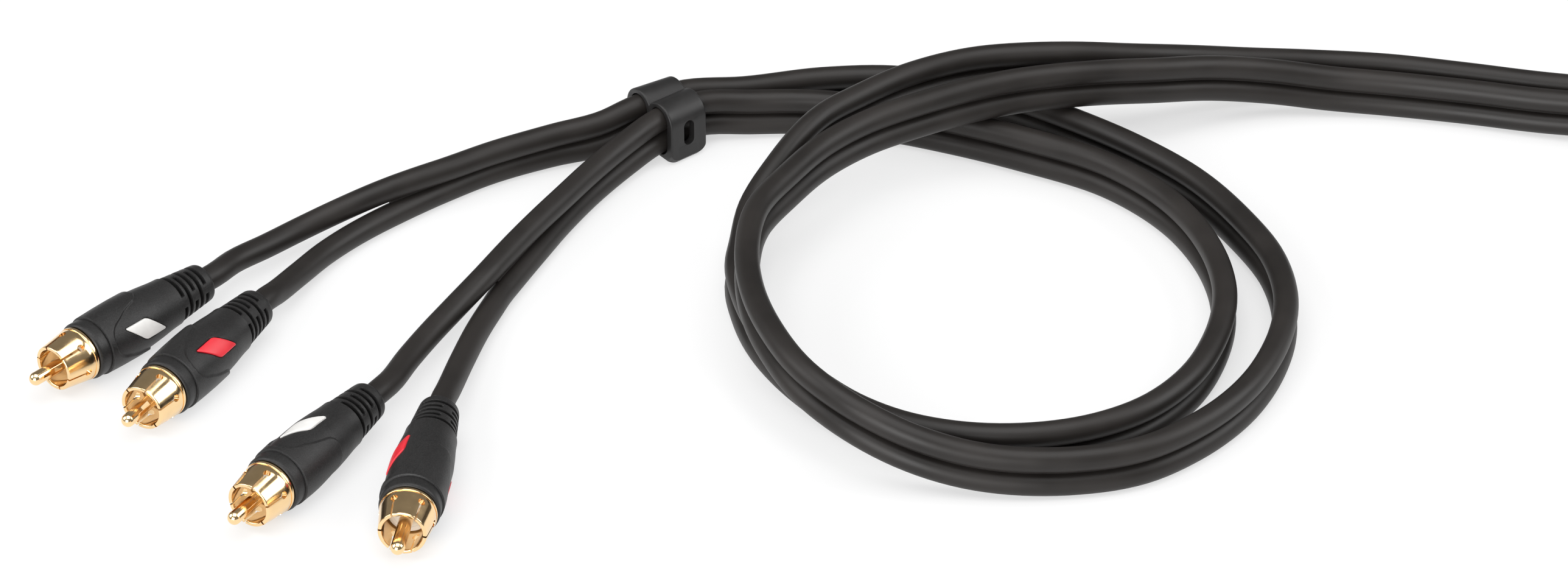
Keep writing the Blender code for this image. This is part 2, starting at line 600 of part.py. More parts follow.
def lobe_end(centres, leans, side):
    """Middle of one lobe at a fork, moved back by the fit gap along the run."""
    along = centres[1] - centres[0]
    along /= np.linalg.norm(along)
    left = np.array((-along[1], along[0], 0.0))
    left /= np.linalg.norm(left)
    offset = 0.5 * LOBE_SPACING * side
    lobe = centres[0] + left * math.sin(leans[0]) * offset
    lobe[2] += math.cos(leans[0]) * offset
    return lobe - along * FIT_GAP, along


def leg_centres(route, matrix, lobe, along):
    """Middle line of a single leg from behind its plug to its lobe."""
    axis = np.array(matrix.to_3x3().col[0])
    rear = np.array(matrix.translation) + np.array((*ORIGIN, 0.0))
    points = [rear - axis * FIT_GAP, rear - axis * LEG_LEAD]
    points += [np.array(spot) * MM for spot in route]
    points += [lobe - along * LEG_LEAD, lobe]
    return np.vstack((points[0], smooth_route(points, LEG_STEP, first=1, last=-2), points[-1]))


def keeper_outline(spacing, inset):
    """Section of the keeper: flat foot, straight sides and two arches with a valley between."""
    radius = CHANNEL_RADIUS + KEEPER_WALL - inset
    top = KEEPER_FLOOR + LOBE_SPACING + 2.0 * CHANNEL_RADIUS + KEEPER_ROOF - CHANNEL_RADIUS - KEEPER_WALL
    half = 0.5 * spacing
    meet = math.acos(min(1.0, half / radius))
    arch = [(half + radius * math.cos(a), top + radius * math.sin(a))
            for a in np.linspace(0.0, math.pi - meet, KEEPER_ARC_STEPS)]
    side = [(half + radius - KEEPER_FOOT, inset), (half + radius, inset + KEEPER_FOOT)]
    right = side + arch
    left = [(-y, z) for y, z in reversed(right[:-1])]
    return right + left


def channel_outline(spacing, side):
    """Section of one channel, a stadium standing on end."""
    low = KEEPER_FLOOR + CHANNEL_RADIUS
    high = low + LOBE_SPACING
    half = 0.5 * spacing * side
    upper = [(half + CHANNEL_RADIUS * math.cos(a), high + CHANNEL_RADIUS * math.sin(a))
             for a in np.linspace(0.0, math.pi, KEEPER_ARC_STEPS)]
    lower = [(half - CHANNEL_RADIUS * math.cos(a), low - CHANNEL_RADIUS * math.sin(a))
             for a in np.linspace(0.0, math.pi, KEEPER_ARC_STEPS)]
    return upper + lower


def keeper_mesh():
    """Keeper lofted between its two end sections, then the channels and the front window."""
    half = 0.5 * KEEPER_LENGTH

    def section(at, inset):
        share = 0.5 + at / KEEPER_LENGTH
        spacing = KEEPER_LEFT_SPACING + (KEEPER_RIGHT_SPACING - KEEPER_LEFT_SPACING) * share
        return [(at, y, z) for y, z in keeper_outline(spacing, inset)]

    square = half - KEEPER_ROUND
    stations = ((-half, KEEPER_ROUND), (-square, 0.0), (square, 0.0), (half, KEEPER_ROUND))
    mesh = loft("keeper", [section(at, inset) for at, inset in stations])
    growth = (KEEPER_RIGHT_SPACING - KEEPER_LEFT_SPACING) * OVERRUN / KEEPER_LENGTH
    for side in (-1.0, 1.0):
        ends = ((-1.0, KEEPER_LEFT_SPACING - growth), (1.0, KEEPER_RIGHT_SPACING + growth))
        rings = [[(end * (half + OVERRUN), y, z) for y, z in channel_outline(spacing, side)]
                 for end, spacing in ends]
        mesh = combined(mesh, loft("channel", rings), "DIFFERENCE")
    reach = 0.5 * (WINDOW_HEIGHT - WINDOW_WIDTH)
    turns = np.linspace(0.0, math.pi, KEEPER_ARC_STEPS)
    bend = 0.5 * WINDOW_WIDTH
    window = [(bend * math.cos(a), WINDOW_MIDDLE + reach + bend * math.sin(a)) for a in turns]
    window += [(-x, 2.0 * WINDOW_MIDDLE - z) for x, z in window]
    outside = -(KEEPER_LEFT_SPACING + CHANNEL_RADIUS + KEEPER_WALL)
    cutter = prism("window", window, outside, -0.5 * KEEPER_RIGHT_SPACING, lambda a, b, level: (a, level, b))
    return combined(mesh, cutter, "DIFFERENCE")


def tie_mesh():
    """Closed strap around both runs."""
    inner_half = 0.5 * TIED_SPACING + LOBE_RADIUS + FIT_GAP
    inner_height = 0.5 * TWIN_HEIGHT + FIT_GAP
    middle = TIE_LIFT + 0.5 * TWIN_HEIGHT

    def outline(grow):
        y = inner_half + grow
        z = inner_height + grow
        corners = ((-y, -z), (y, -z), (y, z), (-y, z))
        return [(a, b + middle) for a, b in rounded(corners, TIE_ROUND + grow, CORNER_STEPS)]

    half = 0.5 * TIE_LENGTH
    sections = ((-half, TIE_THICKNESS), (half, TIE_THICKNESS), (half, 0.0), (-half, 0.0))
    return loft("tie", [[(at, y, z) for y, z in outline(grow)] for at, grow in sections], closed=True)


def bight_mesh():
    """Hank of the tied-back end: flat where the runs enter, round at the far end."""
    start = TIE_LEAD + FIT_GAP
    half = 0.5 * TIED_SPACING + LOBE_RADIUS
    radius = BIGHT_RADIUS + LOBE_RADIUS
    reach = math.hypot(BIGHT_CENTRE - start, half)
    touch = math.pi - math.atan2(half, BIGHT_CENTRE - start) - math.acos(radius / reach)
    turns = np.linspace(-touch, touch, BIGHT_STEPS)
    arc = [(BIGHT_CENTRE + radius * math.cos(a), radius * math.sin(a)) for a in turns]
    outline = [(start, -half), *arc, (start, half)]
    return prism("bight", outline, FLOOR_GAP, TIE_LIFT + TWIN_HEIGHT, lambda a, b, level: (a, b, level))


def build_plugs(slots):
    """Six solids for each plug, carried by an empty at the rear of its relief."""
    housing = housing_mesh()
    markers = [marker_mesh(side) for side in (-1.0, 1.0)]
    parts = {"housing": (housing, "black_moulding"), "shell": (shell_mesh(), "contact_gold"),
             "insulator": (disc_mesh(), "insulator"), "pin": (pin_mesh(), "contact_gold")}
    matrices = []
    for name, mouth, yaw, roll, marker in PLUGS:
        carrier = bpy.data.objects.new(name + "_carrier", None)
        bpy.context.scene.collection.objects.link(carrier)
        matrix = plug_matrix(mouth, yaw, roll, resting_height([housing, *markers], roll))
        carrier.matrix_world = matrix
        for kind, (mesh, slot) in parts.items():
            piece(name + "_" + kind, mesh, slots[slot], carrier)
        for side, mesh in zip(("left", "right"), markers):
            piece(name + "_marker_" + side, mesh, slots[marker], carrier)
        matrices.append(matrix)
    return matrices


def build_cable(slots, matrices):
    """Two twin runs, four legs, the tie and the bight."""
    run_a, lean_a = twin_centres(ROUTE_A_LEFT, ROUTE_A_RIGHT, 1.0, -1.0)
    run_b, lean_b = twin_centres(ROUTE_B_LEFT, ROUTE_B_RIGHT, -1.0, 1.0)
    half = 0.5 * LOBE_SPACING
    tube("twin_run_a", run_a, lean_a, half, slots["jacket"])
    tube("twin_run_b", run_b, lean_b, half, slots["jacket"])
    runs = ((run_a, lean_a), (run_b, lean_b))
    ends = [lobe_end(run, lean, side) for run, lean in runs for side in (1.0, -1.0)]
    for index, (route, matrix, (lobe, along)) in enumerate(zip(LEG_ROUTES, matrices, ends)):
        centres = leg_centres(route, matrix, lobe, along)
        tube(f"leg_{index + 1}", centres, [0.0] * len(centres), 0.0, slots["jacket"])
    place = shifted((*TIE_PLACE, 0.0))
    for name, mesh, slot in (("cord_tie", tie_mesh(), "tie_strap"), ("twin_bight", bight_mesh(), "jacket")):
        solid = piece(name, mesh, slots[slot])
        solid.location = place
        solid.rotation_euler = (0.0, 0.0, REST_YAW)


def build_keeper(slots):
    """Keeper standing on its flat foot."""
    keeper = piece("keeper_clip", keeper_mesh(), slots["black_moulding"])
    keeper.location = shifted((*KEEPER_PLACE, 0.0))
    keeper.rotation_euler = (0.0, 0.0, KEEPER_YAW)


clear_scene()
SLOTS = make_materials()
build_keeper(SLOTS)
build_cable(SLOTS, build_plugs(SLOTS))
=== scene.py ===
"""Dresses a stereo phono lead on its measured frame: jacket, legs, plugs, keeper, tie and a pale stage."""

import math

import bmesh
import bpy
import numpy as np
from mathutils import Matrix, Vector
from mathutils.geometry import tessellate_polygon


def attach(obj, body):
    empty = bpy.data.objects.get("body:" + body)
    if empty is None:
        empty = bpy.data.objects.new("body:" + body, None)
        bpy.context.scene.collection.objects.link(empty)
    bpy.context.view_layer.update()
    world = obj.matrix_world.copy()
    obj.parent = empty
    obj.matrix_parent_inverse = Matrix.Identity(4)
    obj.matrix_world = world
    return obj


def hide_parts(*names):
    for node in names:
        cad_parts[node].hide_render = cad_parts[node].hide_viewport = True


bl_info = {
    "name": "Stereo phono lead",
    "version": (1, 0, 0),
    "blender": (4, 5, 0),
    "location": "View3D > Sidebar > Phono lead",
    "description": "Makes the fine surfaces and finishes of a twin audio lead with four phono plugs",
    "category": "Object",
}

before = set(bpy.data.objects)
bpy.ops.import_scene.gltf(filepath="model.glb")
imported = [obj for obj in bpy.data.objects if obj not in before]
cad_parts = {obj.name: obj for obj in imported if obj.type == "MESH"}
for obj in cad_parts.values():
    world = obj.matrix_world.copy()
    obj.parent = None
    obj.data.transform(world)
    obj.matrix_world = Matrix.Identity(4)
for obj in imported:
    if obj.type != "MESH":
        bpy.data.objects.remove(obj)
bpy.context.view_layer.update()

MM = 0.001
ORIGIN = np.array((-94.781, -19.178)) * MM

# Jacket: routes in millimetres, as x, y, height of the underside and lean in degrees, upright without one
FLOOR_GAP = 0.02 * MM
FIT_GAP = 0.3 * MM
ROUTE_SAMPLES = 40
ROUTE_A_LEFT = (
    (-94.0, 29.8, 0.1, 22.0), (-82.2, 38.8, 0.1, -3.0), (-70.3, 47.6, 0.1, -10.0), (-56.2, 55.4, 0.1, -8.0),
    (-44.0, 60.3, 0.6, 0.0),
)
ROUTE_A_RIGHT = (
    (-10.0, 76.6, 0.6), (10.0, 82.0, 0.1), (26.0, 82.8, 0.1), (42.0, 79.3, 0.1), (57.0, 72.0, 0.1),
    (71.0, 62.0, 0.1), (85.0, 50.0, 0.1), (98.0, 35.3, 0.1), (108.0, 17.2, 0.1), (114.2, 0.0, 0.1),
    (115.7, -18.0, 0.1), (111.0, -39.5, 0.1), (102.5, -56.5, 0.1), (91.4, -69.3, 0.1), (79.0, -78.2, 0.1),
    (60.0, -82.5, 0.1), (39.0, -82.0, 2.0), (27.0, -79.7, 5.0), (16.0, -75.0, 8.5), (5.0, -65.2, 11.5),
    (-3.0, -48.8, 12.4), (-7.5, -30.8, 12.4), (-8.5, -15.0, 12.4), (-6.0, 3.0, 12.4), (1.0, 17.0, 12.4),
    (10.0, 31.0, 12.4), (20.0, 41.0, 12.4), (32.0, 49.0, 12.4), (55.0, 60.0, 12.4), (76.0, 65.0, 12.0),
    (90.0, 69.5, 10.0), (105.0, 75.7, 7.0), (120.0, 80.0, 3.5), (135.0, 80.8, 1.0), (150.0, 79.5, 0.2),
    (168.0, 75.8, 0.2), (186.0, 70.8, 0.6),
)
ROUTE_B_LEFT = (
    (-67.0, -4.8, 0.1, 30.0), (-59.8, 11.1, 0.1, 17.0), (-53.2, 24.8, 0.1, 4.0), (-45.0, 40.4, 0.1, 0.0),
    (-38.0, 50.6, 0.8, 0.0),
)
ROUTE_B_RIGHT = (
    (-7.5, 70.6, 0.4), (4.0, 71.3, 0.1), (25.0, 67.6, 0.1), (40.0, 62.0, 0.1), (57.0, 54.0, 0.1),
    (78.0, 41.3, 0.1), (91.7, 24.8, 0.1), (99.4, 6.0, 0.1), (101.8, -15.0, 0.1), (97.9, -35.0, 0.1),
    (90.5, -51.0, 0.1), (80.0, -62.8, 0.1), (67.0, -70.0, 0.1), (53.0, -73.0, 0.1), (40.0, -72.5, 0.1),
    (27.0, -68.5, 0.1), (17.0, -62.0, 0.1), (8.0, -52.5, 0.1), (0.0, -41.0, 0.1), (-6.0, -28.5, 0.1),
    (-9.5, -15.5, 0.1), (-11.0, -3.0, 0.1), (-10.0, 6.5, 0.4), (-8.0, 17.4, 3.0), (-2.0, 28.4, 7.5),
    (9.0, 44.0, 12.2), (18.0, 53.0, 12.4), (30.0, 63.0, 12.4), (47.0, 71.0, 12.4), (60.0, 73.0, 12.4),
    (70.0, 74.0, 12.0), (85.0, 77.0, 9.7), (100.0, 82.2, 6.2), (115.0, 86.5, 3.0), (130.0, 89.0, 1.0),
    (150.0, 88.2, 0.2), (168.0, 84.2, 0.2), (186.0, 79.0, 0.6),
)

# Single legs, centre line in millimetres, plug first
LEG_ROUTES = (
    ((-129.0, 2.1, 6.6), (-121.8, 10.4, 5.8), (-114.0, 17.9, 6.0), (-107.1, 22.8, 7.0)),
    ((-118.3, -11.0, 6.2), (-113.4, 0.6, 4.3), (-108.2, 10.9, 3.4), (-102.2, 19.3, 3.1)),
    ((-89.2, -48.3, 6.5), (-85.5, -36.9, 5.6), (-81.0, -26.3, 5.6), (-75.9, -16.8, 6.4)),
    ((-75.7, -51.2, 6.4), (-73.3, -36.5, 4.8), (-70.1, -20.5, 3.4), (-67.8, -12.2, 3.0)),
)
LEG_PLUG_DEPTH = 1.2 * MM
LEG_LEAD = 4.0 * MM
FORK_LEAD = 0.5 * MM

# Keeper, tie and bight
TWIN_WIDTH = 5.8 * MM
TWIN_RISE = 6.1 * MM
KEEPER_PLACE = (-28.5 * MM, 66.0 * MM)
KEEPER_YAW = math.radians(37.0)
KEEPER_LENGTH = 11.0 * MM
KEEPER_WALL = 1.95 * MM
KEEPER_ROOF = 1.2 * MM
KEEPER_FLOOR = 1.4 * MM
KEEPER_FOOT = 1.0 * MM
KEEPER_CORNER = 2.4 * MM
KEEPER_RIM = 0.4 * MM
KEEPER_SPACINGS = (8.4 * MM, 6.9 * MM)
KEEPER_LEAD = 7.0 * MM
CHANNEL_GAP = 0.35 * MM
WINDOW_WIDTH = 3.0 * MM
WINDOW_HEIGHT = 6.7 * MM
WINDOW_MIDDLE = 7.6 * MM
REST_YAW = math.radians(-14.0)
TIE_PLACE = (207.5 * MM, 69.6 * MM)
TIE_LENGTH = 4.5 * MM
TIE_THICKNESS = 0.8 * MM
TIE_ROUND = 2.6 * MM
TIED_SPACING = 7.6 * MM
TIE_LEAD = 6.5 * MM
TIE_LIFT = TIE_THICKNESS + FIT_GAP + FLOOR_GAP
BIGHT_CENTRE = 76.0 * MM
BIGHT_RADIUS = 35.0 * MM

# Plugs: mouth of the shell in millimetres, axis height, yaw and roll in degrees, marker slot
PLUGS = (
    ("plug_1", (-165.5, -43.7, 7.2864), -130.0, 19.0, "white_marker"),
    ("plug_2", (-143.8, -59.6, 7.2463), -118.2, 44.0, "red_marker"),
    ("plug_3", (-116.6, -97.0, 7.1880), -119.9, -75.0, "white_marker"),
    ("plug_4", (-82.5, -107.6, 7.2906), -96.6, -36.0, "red_marker"),
)

# Strain relief and body, stations run from the rear of the relief toward the contact tip
RELIEF_LENGTH = 10.8 * MM
RELIEF_COLLAR = 2.3 * MM
RELIEF_ROWS = 5
SLOT_WIDTH = 1.0 * MM
SLOT_DEPTH = 1.1 * MM
SLOT_ARC = math.radians(150.0)
SLOT_EDGE = 0.18 * MM
BORE_RADIUS = 3.05 * MM
BORE_DEPTH = 1.6 * MM
BODY_RADIUS = 7.0 * MM
COLLAR_START = 34.8 * MM
BODY_SHARES = np.array((0.0, 0.1, 0.25, 0.42, 0.61, 0.8, 1.0))
BODY_SWELL = np.array((0.85, 0.874, 0.936, 0.989, 1.0, 0.993, 0.971))
BODY_START = 11.2 * MM
SKIN_HEIGHT = 0.45 * MM
SKIN_LENGTH = 13.8 * MM
SKIN_SHARES = np.array((0.0, 0.02, 0.11, 0.43, 0.58, 0.76, 0.88, 0.96))
SKIN_SPREAD = np.array((0.2, 0.36, 0.5, 0.66, 0.76, 0.84, 0.94, 1.14))
SKIN_EDGE = 0.35 * MM
MARKER_STATION = 23.6 * MM
MARKER_LENGTH = 6.5 * MM
MARKER_WIDTH = 4.9 * MM
MARKER_SLANT = 5.2 * MM
MARKER_DROP = 0.4 * MM
MARKER_ROUND = 0.6 * MM
MARKER_RISE = 0.22 * MM
MARKER_SEAM = 0.12 * MM
POCKET_DEPTH = 0.45 * MM

# Ground shell, contact and disc
SHELL_BASE = 38.6 * MM
SHELL_BASE_RADIUS = 6.45 * MM
SHELL_WALL = 0.9 * MM
SKIRT_START = 35.6 * MM
SKIRT_RADIUS = 5.9 * MM
GROOVE_START = 39.5 * MM
GROOVE_WIDTH = 0.35 * MM
MOUTH_STATION = 47.0 * MM
MOUTH_RADIUS = 5.4 * MM
PETALS = 6
PETAL_SLOT = 0.45 * MM
PETAL_HOLE = 0.85 * MM
PETAL_HOLE_DEPTH = 5.3 * MM
PIN_RADIUS = 1.55 * MM
PIN_START = 36.4 * MM
PIN_TIP = 53.8 * MM
PIN_SLOT_ENDS = (45.6 * MM, 52.5 * MM)
PIN_SLOT_WIDTHS = (1.1 * MM, 0.5 * MM)
DISC_REAR = 36.8 * MM
DISC_FRONT = 39.5 * MM
DISC_RADIUS = 4.7 * MM
DISC_BORE = 1.85 * MM

# Noise textures of the finishes
NOISE_ROUGHNESS = 0.55
NOISE_SPAN = (0.3, 0.7)

# Stage: lamps as name, place from the middle of the view, size and power
FLOOR_REACH = 8.0
FLOOR_LIFT = 0.6
WORLD_LEVEL = 0.2
LAMPS = (
    ("top", (0.0, -0.2, 1.3), 1.3, 15.0),
    ("left", (-1.3, -0.1, 0.85), 1.0, 11.0),
    ("right", (1.3, 0.1, 0.85), 1.0, 12.0),
    ("front", (-0.6, -1.6, 0.45), 1.1, 29.0),
)


def length_setting(name, description, value):
    """Adjustable length in metres."""
    return bpy.props.FloatProperty(name=name, description=description, default=value, subtype="DISTANCE",
                                   unit="LENGTH", precision=5)


def colour_setting(name, description, value):
    """Adjustable colour."""
    return bpy.props.FloatVectorProperty(name=name, description=description, size=4, subtype="COLOR",
                                         min=0.0, max=1.0, default=(*value, 1.0))


class LeadJacket(bpy.types.PropertyGroup):
    """Section and finish of the figure-8 jacket."""

    lobe: length_setting("Lobe diameter", "Outside diameter of one lobe and of a single leg", 5.8 * MM)
    spacing: length_setting("Lobe spacing", "Distance between the middles of the two lobes", 6.1 * MM)
    web: length_setting("Web thickness", "Thickness of the web that joins the lobes", 1.1 * MM)
    step: length_setting("Ring step", "Distance between rings along the jacket", 2.5 * MM)
    colour: colour_setting("Jacket colour", "Colour of the jacket", (0.0145, 0.0124, 0.0112))


class LeadPlug(bpy.types.PropertyGroup):
    """Finish and fineness of the plugs."""

    moulding: colour_setting("Moulding colour", "Colour of plug bodies and keeper", (0.0135, 0.013, 0.0129))
    plating: colour_setting("Plating colour", "Colour of the gold on shell and contact", (0.95, 0.68, 0.37))
    white: colour_setting("White marker", "Colour of the inlays of the first channel", (0.68, 0.67, 0.65))
    red: colour_setting("Red marker", "Colour of the inlays of the second channel", (0.66, 0.022, 0.035))
    columns: bpy.props.IntProperty(
        name="Columns round the body", description="Points in one ring of the moulded body",
        default=240, min=48, max=360)


class LeadStage(bpy.types.PropertyGroup):
    """Floor, lamps and camera."""

    distance: length_setting("Camera distance", "From the lens to the middle of the view on the floor", 1.2)
    elevation: bpy.props.FloatProperty(
        name="Camera elevation", description="Angle of the view down onto the floor",
        default=math.radians(33.0), subtype="ANGLE", unit="ROTATION")
    lens: bpy.props.FloatProperty(
        name="Focal length", description="In millimetres, on a 36 mm wide sensor", default=117.56)
    floor: colour_setting("Floor colour", "Colour of the floor", (0.8, 0.8, 0.8))


def shifted(points):
    """Layout points moved into the part's own frame."""
    moved = np.array(points, dtype=float)
    moved[..., :2] -= ORIGIN
    return moved


def put_mesh(name, vertices, polygons):
    """Store a vertex array and a list of face index arrays as a mesh."""
    mesh = bpy.data.meshes.new(name)
    counts = np.concatenate([np.full(len(block), block.shape[1]) for block in polygons])
    corners = np.concatenate([block.ravel() for block in polygons]).astype(np.int32)
    mesh.vertices.add(len(vertices))
    mesh.vertices.foreach_set("co", np.ascontiguousarray(vertices, dtype=np.float32).ravel())
    mesh.loops.add(len(corners))
    mesh.loops.foreach_set("vertex_index", corners)
    mesh.polygons.add(len(counts))
    mesh.polygons.foreach_set("loop_start", np.concatenate(([0], np.cumsum(counts)[:-1])).astype(np.int32))
    mesh.update(calc_edges=True)
    mesh.validate()
    return mesh


def grid_quads(rows, columns, wrap_rows=False, wrap_columns=True, first=0):
    """Quads of a grid of points numbered row by row from first."""
    down = np.arange(rows if wrap_rows else rows - 1)
    across = np.arange(columns if wrap_columns else columns - 1)
    r, c = np.meshgrid(down, across, indexing="ij")
    r2, c2 = (r + 1) % rows, (c + 1) % columns
    quads = np.stack((r * columns + c, r * columns + c2, r2 * columns + c2, r2 * columns + c), axis=-1)
    return quads.reshape(-1, 4) + first


def fan(first, count, centre):
    """Triangles between a ring of points numbered from first and a centre point."""
    around = np.arange(count)
    return np.stack((first + around, first + (around + 1) % count, np.full(count, centre)), axis=-1)


def clean_mesh(mesh, merge=2e-7, angle=40.0):
    """Merge doubles, face everything outward and shade smooth except across sharp edges."""
    work = bmesh.new()
    work.from_mesh(mesh)
    bmesh.ops.remove_doubles(work, verts=work.verts[:], dist=merge)
    bmesh.ops.dissolve_degenerate(work, edges=work.edges[:], dist=merge)
    bmesh.ops.recalc_face_normals(work, faces=work.faces[:])
    work.to_mesh(mesh)
    work.free()
    mesh.shade_smooth()
    mesh.set_sharp_from_angle(angle=math.radians(angle))
    return mesh


def put_object(name, data):
    """New object in the scene."""
    thing = bpy.data.objects.new(name, data)
    bpy.context.scene.collection.objects.link(thing)
    return thing


def put_lay(mesh, spots):
    """UV map "lay" in metres, from a spot for each vertex: x round the piece, y along it."""
    corners = np.empty(len(mesh.loops), dtype=np.int32)
    mesh.loops.foreach_get("vertex_index", corners)
    mesh.uv_layers.new(name="lay").data.foreach_set("uv", spots[corners].astype(np.float32).ravel())


def stand_for(name, mesh, material, slot, *nodes):
    """Link a finished piece, let it ride on the part and stand for its solids."""
    piece = put_object(name, mesh)
    mesh.materials.clear()
    mesh.materials.append(material)
    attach(piece, "root")
    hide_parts(*nodes)
    return piece


def run_along(points):
    """Distance run along a row of points, from 0."""
    return np.concatenate(([0.0], np.cumsum(np.linalg.norm(np.diff(points, axis=0), axis=1))))


def smooth_route(points, step):
    """Cubic through the route points, its tangents weighted by the chords, read off at even steps."""
    route = np.array(points, dtype=float)
    knots = run_along(route[:, :3])
    chords = np.diff(knots)
    slopes = np.diff(route, axis=0) / chords[:, None]
    pairs = (chords[1:] + chords[:-1])[:, None]
    inner = (chords[1:, None] * slopes[:-1] + chords[:-1, None] * slopes[1:]) / pairs
    tangents = np.vstack((2.0 * slopes[0] - inner[0], inner, 2.0 * slopes[-1] - inner[-1]))
    fine = np.linspace(0.0, knots[-1], ROUTE_SAMPLES * len(route))
    span = np.clip(np.searchsorted(knots, fine, side="right") - 1, 0, len(chords) - 1)
    width = chords[span][:, None]
    t = (fine - knots[span])[:, None] / width
    dense = (route[span] * (1.0 + 2.0 * t) * (1.0 - t) ** 2 + tangents[span] * width * t * (1.0 - t) ** 2
             + route[span + 1] * t * t * (3.0 - 2.0 * t) + tangents[span + 1] * width * t * t * (t - 1.0))
    run = run_along(dense[:, :3])
    marks = np.linspace(0.0, run[-1], max(1, round(run[-1] / step)) + 1)
    return np.column_stack([np.interp(marks, run, column) for column in dense.T])


def turned_point(place, yaw, along, across):
    """Floor point reached from a place by going along and across a heading."""
    x = place[0] + along * math.cos(yaw) - across * math.sin(yaw)
    y = place[1] + along * math.sin(yaw) + across * math.cos(yaw)
    return x, y


def edge(distance, width):
    """Rise from 0 to 1 along 3t^2 - 2t^3 across an edge of some width at distance 0."""
    t = np.clip(distance / width + 0.5, 0.0, 1.0)
    return t * t * (3.0 - 2.0 * t)


def eased(x, stations, values, blur):
    """Straight pieces between given points, rounded by averaging over a short window."""
    shifts = np.linspace(-0.5, 0.5, 9) * blur
    return np.mean([np.interp(x + shift, stations, values) for shift in shifts], axis=0)


def keeper_guides(side):
    """Two points that hold a run straight through its channel, side +1 for the rear arch."""
    lift = KEEPER_FLOOR + CHANNEL_GAP
    guides = []
    for along in (-KEEPER_LEAD, KEEPER_LEAD):
        share = 0.5 + along / KEEPER_LENGTH
        spacing = KEEPER_SPACINGS[0] + (KEEPER_SPACINGS[1] - KEEPER_SPACINGS[0]) * share
        guides.append((*turned_point(KEEPER_PLACE, KEEPER_YAW, along, 0.5 * side * spacing), lift, 0.0))
    return guides


def bight_points():
    """The round turn past the tie: out from the tie, round the far circle and back."""
    half = 0.5 * TIED_SPACING
    flare = ((TIE_LEAD, half, TIE_LIFT), (18.0 * MM, 6.4 * MM, 0.7 * MM), (31.0 * MM, 13.6 * MM, 0.2 * MM),
             (45.0 * MM, 22.4 * MM, 0.1 * MM))
    turns = np.radians(np.linspace(-112.0, 112.0, 12))
    ring = [(BIGHT_CENTRE + BIGHT_RADIUS * math.cos(a), BIGHT_RADIUS * math.sin(a), 0.1 * MM) for a in turns]
    way = [(a, -b, z) for a, b, z in flare] + ring + [(a, b, z) for a, b, z in reversed(flare)]
    return [(*turned_point(TIE_PLACE, REST_YAW, a, b), z, 0.0) for a, b, z in way]


def in_metres(points):
    """Route rows from millimetres and degrees to metres and radians; a row without a lean is upright."""
    padded = [(*point, 0.0)[:4] for point in points]
    return [(x * MM, y * MM, base * MM, math.radians(lean)) for x, y, base, lean in padded]


def twin_route(jacket):
    """Whole twin from fork A through the keeper, the loop, the tie and the bight back to fork B."""
    tied = [[(*turned_point(TIE_PLACE, REST_YAW, -TIE_LEAD, side * 0.5 * TIED_SPACING), TIE_LIFT, 0.0)]
            for side in (-1.0, 1.0)]
    points = in_metres(ROUTE_A_LEFT) + keeper_guides(1.0) + in_metres(ROUTE_A_RIGHT) + tied[0]
    points += bight_points() + tied[1] + in_metres(ROUTE_B_RIGHT)[::-1] + keeper_guides(-1.0)[::-1]
    # Run B is followed backward, so its lean toward the left of travel changes sign
    points += [(x, y, base, -lean) for x, y, base, lean in in_metres(ROUTE_B_LEFT)[::-1]]
    rows = smooth_route(points, jacket.step)
    # The cubic may dip under the floor between two points
    bases = np.maximum(rows[:, 2], FLOOR_GAP)
    heights = bases + 0.5 * jacket.lobe + 0.5 * jacket.spacing * np.cos(rows[:, 3])
    return shifted(np.column_stack((rows[:, :2], heights))), rows[:, 3]


def path_frames(centres, leans):
    """Unit side and up vectors along a path, the up vector tipped by the lean."""
    tangents = np.gradient(centres, axis=0)
    tangents /= np.linalg.norm(tangents, axis=1)[:, None]
    left = np.column_stack((-tangents[:, 1], tangents[:, 0], np.zeros(len(tangents))))
    left /= np.linalg.norm(left, axis=1)[:, None]
    upright = np.cross(tangents, left)
    cos, sin = np.cos(leans)[:, None], np.sin(leans)[:, None]
    return left * cos - upright * sin, upright * cos + left * sin


def swept(name, centres, leans, section):
    """Section points (across, high) carried along a leaning path, with both ends closed by fans."""
    side, up = path_frames(centres, leans)
    rings = (centres[:, None, :] + section[..., 0, None] * side[:, None, :]
             + section[..., 1, None] * up[:, None, :])
    rows, columns = rings.shape[:2]
    count = rows * columns
    vertices = np.vstack((rings.reshape(-1, 3), centres[:1], centres[-1:]))
    caps = (fan(0, columns, count)[:, ::-1], fan(count - columns, columns, count + 1))
    mesh = put_mesh(name, vertices, [grid_quads(rows, columns), *caps])
    along = run_along(rings.mean(axis=1))
    grid = np.stack(np.meshgrid(run_along(rings[0]), along), axis=-1).reshape(-1, 2)
    put_lay(mesh, np.vstack((grid, (0.0, 0.0), (0.0, along[-1]))))
    mesh.shade_smooth()
    mesh.set_sharp_from_angle(angle=math.radians(50.0))
    return mesh


def twin_section(jacket):
    """Figure-8 outline: an arc round each lobe, broken where it meets the web."""
    radius, half = 0.5 * jacket.lobe, 0.5 * jacket.spacing
    gap = math.asin(0.5 * jacket.web / radius)
    turns = np.linspace(-math.pi + gap, math.pi - gap, 28)[:, None]
    upper = np.hstack((radius * np.sin(turns), half + radius * np.cos(turns)))
    return np.vstack((upper, -upper))


def new_material(name, colour, roughness, metallic=0.0, specular=0.5):
    """Principled material with its even values on the sockets; returns it with its shader."""
    material = bpy.data.materials.new(name)
    material.use_nodes = True
    shader = material.node_tree.nodes["Principled BSDF"]
    shader.inputs["Base Color"].default_value = colour
    shader.inputs["Roughness"].default_value = roughness
    shader.inputs["Metallic"].default_value = metallic
    shader.inputs["Specular IOR Level"].default_value = specular
    return material, shader


